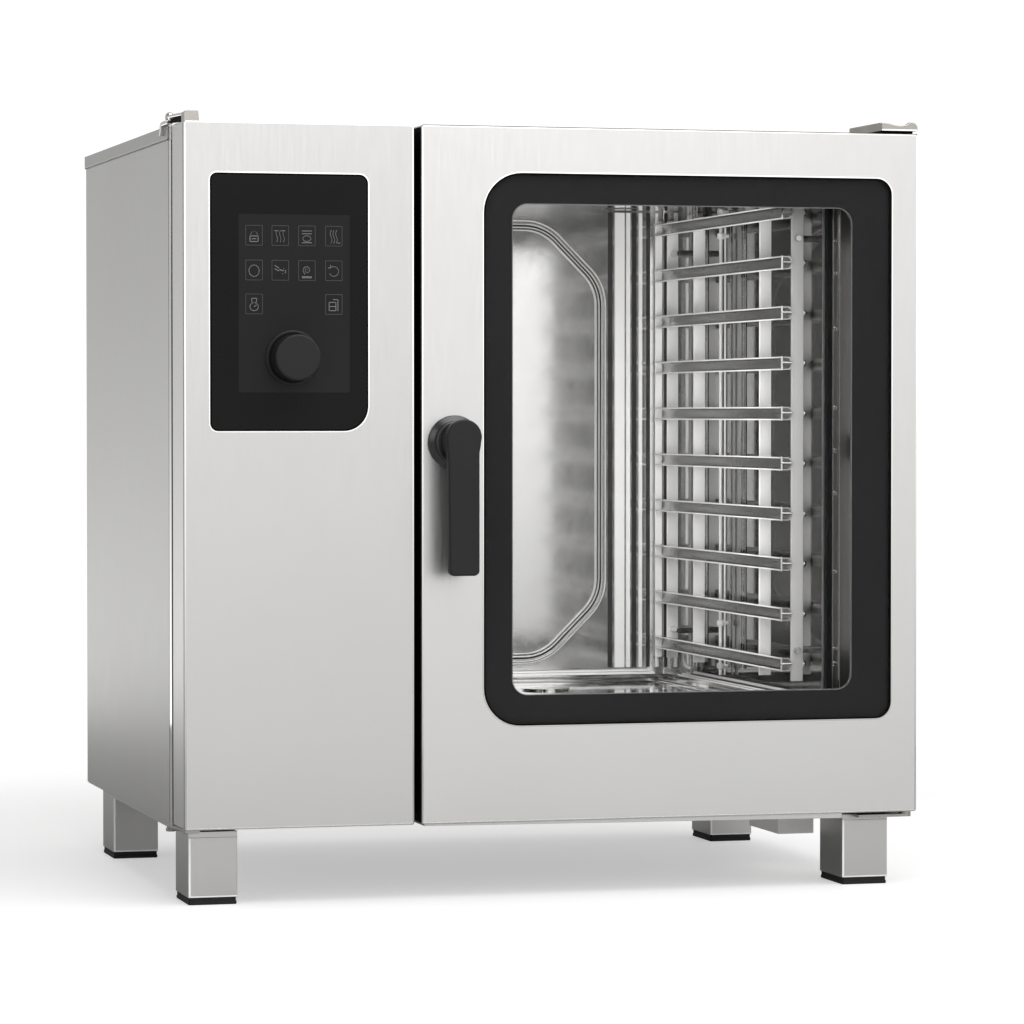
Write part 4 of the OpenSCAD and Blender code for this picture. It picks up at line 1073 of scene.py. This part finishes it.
CARRIED = {
    "bottom_pan": (SIDE, "brushed_steel", 0.4), "cavity_walls": (WALL, "polished_steel", 0.3),
    "cavity_ceiling": (MIRROR, "polished_steel", 0.3), "cavity_floor": (MIRROR, "polished_steel", 1.2),
    "drain_strainer": (BRIGHT, "polished_steel", 0.4), "insulation": (WOOL, "mineral_wool", 3.0),
    "air_baffle": (SOFT, "polished_steel", 0.0), "baffle_knobs": (BRIGHT, "polished_steel", 0.8),
    "heating_coil": (HEATER, "heater_steel", 0.0), "fan_motor": (MOTOR, "motor_paint", 0.8),
    "fan_wheel": (FAN, "fan_steel", 0.3), "steam_generator": (FAN, "fan_steel", 1.2),
    "power_tray": (GEAR, "switchgear", 1.5), "drain_pipe": (FAN, "fan_steel", 0.4),
    "water_inlets": (BRASS, "brass", 0.6), "vent_pipe": (SIDE, "brushed_steel", 0.4),
    "cable_gland": (BLACK, "black_plastic", 0.8), "door_gasket": (RUBBER, "seal_rubber", 1.5),
    "rack_pegs": (RAIL, "polished_steel", 0.6), "latch_striker": (BRIGHT, "polished_steel", 0.8),
    "door_plate_lower": (CAST, "brushed_steel", 1.0), "panel_strap_lower": (CAST, "brushed_steel", 1.0),
    "door_liner": (MIRROR, "polished_steel", 0.4), "door_bushes": (BUSH, "bush", 0.6),
    "middle_glass": (PANE, "clear_glass", 0.0), "inner_glass": (PANE, "clear_glass", 0.0),
    "pane_spacers": (RUBBER, "seal_rubber", 0.8), "door_lamps": (LAMP, "lamp", 1.0),
    "door_drip_tray": (SKIN, "brushed_steel", 0.4), "latch_hook": (BRIGHT, "polished_steel", 0.8),
    # The panel seal takes the near-black of painted shade.
    "panel_seal": (SHADE_BLACK, "seal_rubber", 1.0), "display_board": (BOARD, "circuit_board", 0.4),
    "dial_shaft": (FAN, "fan_steel", 0.3),
}


def carried_nodes():
    """The CAD nodes that stay: each gets its material and, mostly, rounded edges."""
    for node, (material, slot, bevel) in CARRIED.items():
        refined(node + "_shape", node, material, bevel, body_of(NODES[node])[0])


# ---- Studio

# How bright the surroundings are in each direction from the oven
FRONT_RIGHT = 1.55
FAR_RIGHT = 0.90
FRONT_LEFT = 0.06
BEHIND = 0.485
BEHIND_BELOW = 1.45
BELOW = 0.36
BACKDROP = 1.05


def studio():
    """Pale floor, white surroundings and soft lights."""
    floor_mesh = bpy.data.meshes.new("Studio floor")
    reach = 3.0
    corners = [(-reach, -reach, 0), (reach, -reach, 0), (reach, reach, 0), (-reach, reach, 0)]
    floor_mesh.from_pydata(corners, [], [(0, 1, 2, 3)])
    floor = placed("Studio floor", floor_mesh)
    pale, tree, principled = shader("Studio floor", (0.70, 0.70, 0.70), 0.0, 0.55)
    roughen(tree, principled, noise(tree, 3.0), 0.50, 0.60)
    principled.inputs["Specular IOR Level"].default_value = 0.2
    principled.inputs["Emission Color"].default_value = (1.0, 1.0, 1.0, 1.0)
    principled.inputs["Emission Strength"].default_value = 0.46
    fade_out(tree, principled, 1.35, 2.3)
    dim_in_reflections(tree, principled)
    floor_mesh.materials.append(pale)
    surroundings()
    light("Overhead", (0.4, -1.8, 3.4), (0.0, 0.0, 0.4), (3.4, 1.6), 42.0)
    light("Key", (-3.4, -3.4, 2.2), (0.0, 0.0, 0.5), (1.6, 2.2), 26.0)


def fade_out(tree, principled, start, end):
    """The floor melts into the backdrop between two distances from the oven."""
    where = tree.nodes.new("ShaderNodeTexCoord")
    distance = tree.nodes.new("ShaderNodeVectorMath")
    distance.operation = "LENGTH"
    tree.links.new(where.outputs["Object"], distance.inputs[0])
    alpha = remap(tree, distance.outputs["Value"], start, end, 1.0, 0.0)
    tree.links.new(alpha, principled.inputs["Alpha"])


def dim_in_reflections(tree, principled):
    """Painted shade in reflections: the floor shows darker in the steel's reflections than to the eye."""
    dim = tree.nodes.new("ShaderNodeBsdfDiffuse")
    dim.inputs["Color"].default_value = (0.42, 0.42, 0.42, 1.0)
    path = tree.nodes.new("ShaderNodeLightPath")
    both = tree.nodes.new("ShaderNodeMixShader")
    tree.links.new(path.outputs["Is Glossy Ray"], both.inputs["Fac"])
    tree.links.new(principled.outputs["BSDF"], both.inputs[1])
    tree.links.new(dim.outputs["BSDF"], both.inputs[2])
    tree.links.new(both.outputs["Shader"], tree.nodes["Material Output"].inputs["Surface"])


def surroundings():
    """A white backdrop, which lights the oven most from the front right and from low behind it."""
    world = bpy.data.worlds.new("Studio")
    bpy.context.scene.world = world
    world.use_nodes = True
    tree = world.node_tree
    way = tree.nodes.new("ShaderNodeTexCoord")
    parts = tree.nodes.new("ShaderNodeSeparateXYZ")
    tree.links.new(way.outputs["Generated"], parts.inputs["Vector"])

    def slope(axis, start, end, low=0.0, high=1.0):
        return remap(tree, parts.outputs[axis], start, end, low, high)

    def choose(factor, first, second):
        choice = tree.nodes.new("ShaderNodeMix")
        choice.data_type = "FLOAT"
        tree.links.new(factor, choice.inputs["Factor"])
        for socket, value in (("A", first), ("B", second)):
            if isinstance(value, float):
                choice.inputs[socket].default_value = value
            else:
                tree.links.new(value, choice.inputs[socket])
        return choice.outputs["Result"]

    right = slope("X", 0.24, 0.55, FRONT_RIGHT, FAR_RIGHT)
    across = choose(slope("X", -0.30, 0.02), FRONT_LEFT, right)
    front = choose(slope("Z", -0.12, 0.06), BELOW, across)
    rear = choose(slope("Z", -0.11, 0.03), BEHIND_BELOW, BEHIND)
    around = choose(slope("Y", -0.5, 0.5), front, rear)
    seen = tree.nodes.new("ShaderNodeLightPath")
    back = tree.nodes["Background"]
    tree.links.new(choose(seen.outputs["Is Camera Ray"], around, BACKDROP), back.inputs["Strength"])
    back.inputs["Color"].default_value = (1.0, 0.998, 0.994, 1.0)


def light(name, place, target, size, power):
    """A soft area light aimed at a target."""
    lamp = bpy.data.lights.new(name, "AREA")
    lamp.shape = "RECTANGLE"
    lamp.size = size[0]
    lamp.size_y = size[1]
    lamp.energy = power
    holder = placed(name, lamp)
    holder.location = place
    holder.rotation_euler = (Vector(target) - Vector(place)).to_track_quat("-Z", "Y").to_euler()
    return holder


def cavity_light():
    """Soft light from the door into the cavity, without a glare in the polished walls."""
    inner = light("Cavity light", spot(610, 95, 660), spot(610, 700, 660), (0.45, 0.72), 8.0)
    inner.visible_camera = False
    inner.visible_glossy = False


def camera():
    """The view of the product picture."""
    lens = bpy.data.cameras.new("Camera")
    lens.lens = 143.22
    lens.sensor_width = 36.0
    lens.clip_end = 200.0
    holder = placed("Camera", lens)
    holder.location = (-1.63695, -6.1767, 0.7095)
    holder.rotation_euler = (math.radians(90 - 1.368), 0.0, math.radians(-15.226))
    bpy.context.scene.camera = holder


cabinet_shell()
leg_frame()
door_front()
window()
panel_front()
dial()
handle()
rear_wall()
wall_beads()
floor_rim_highlights()
probe_rod()
post_studs()
mouth_screws()
shelf_rack("left")
shelf_rack("right")
door_bracket()
panel_hinge()
carried_nodes()
studio()
cavity_light()
camera()
bpy.context.scene.view_settings.view_transform = "Standard"
bpy.context.scene.cycles.transparent_max_bounces = 32
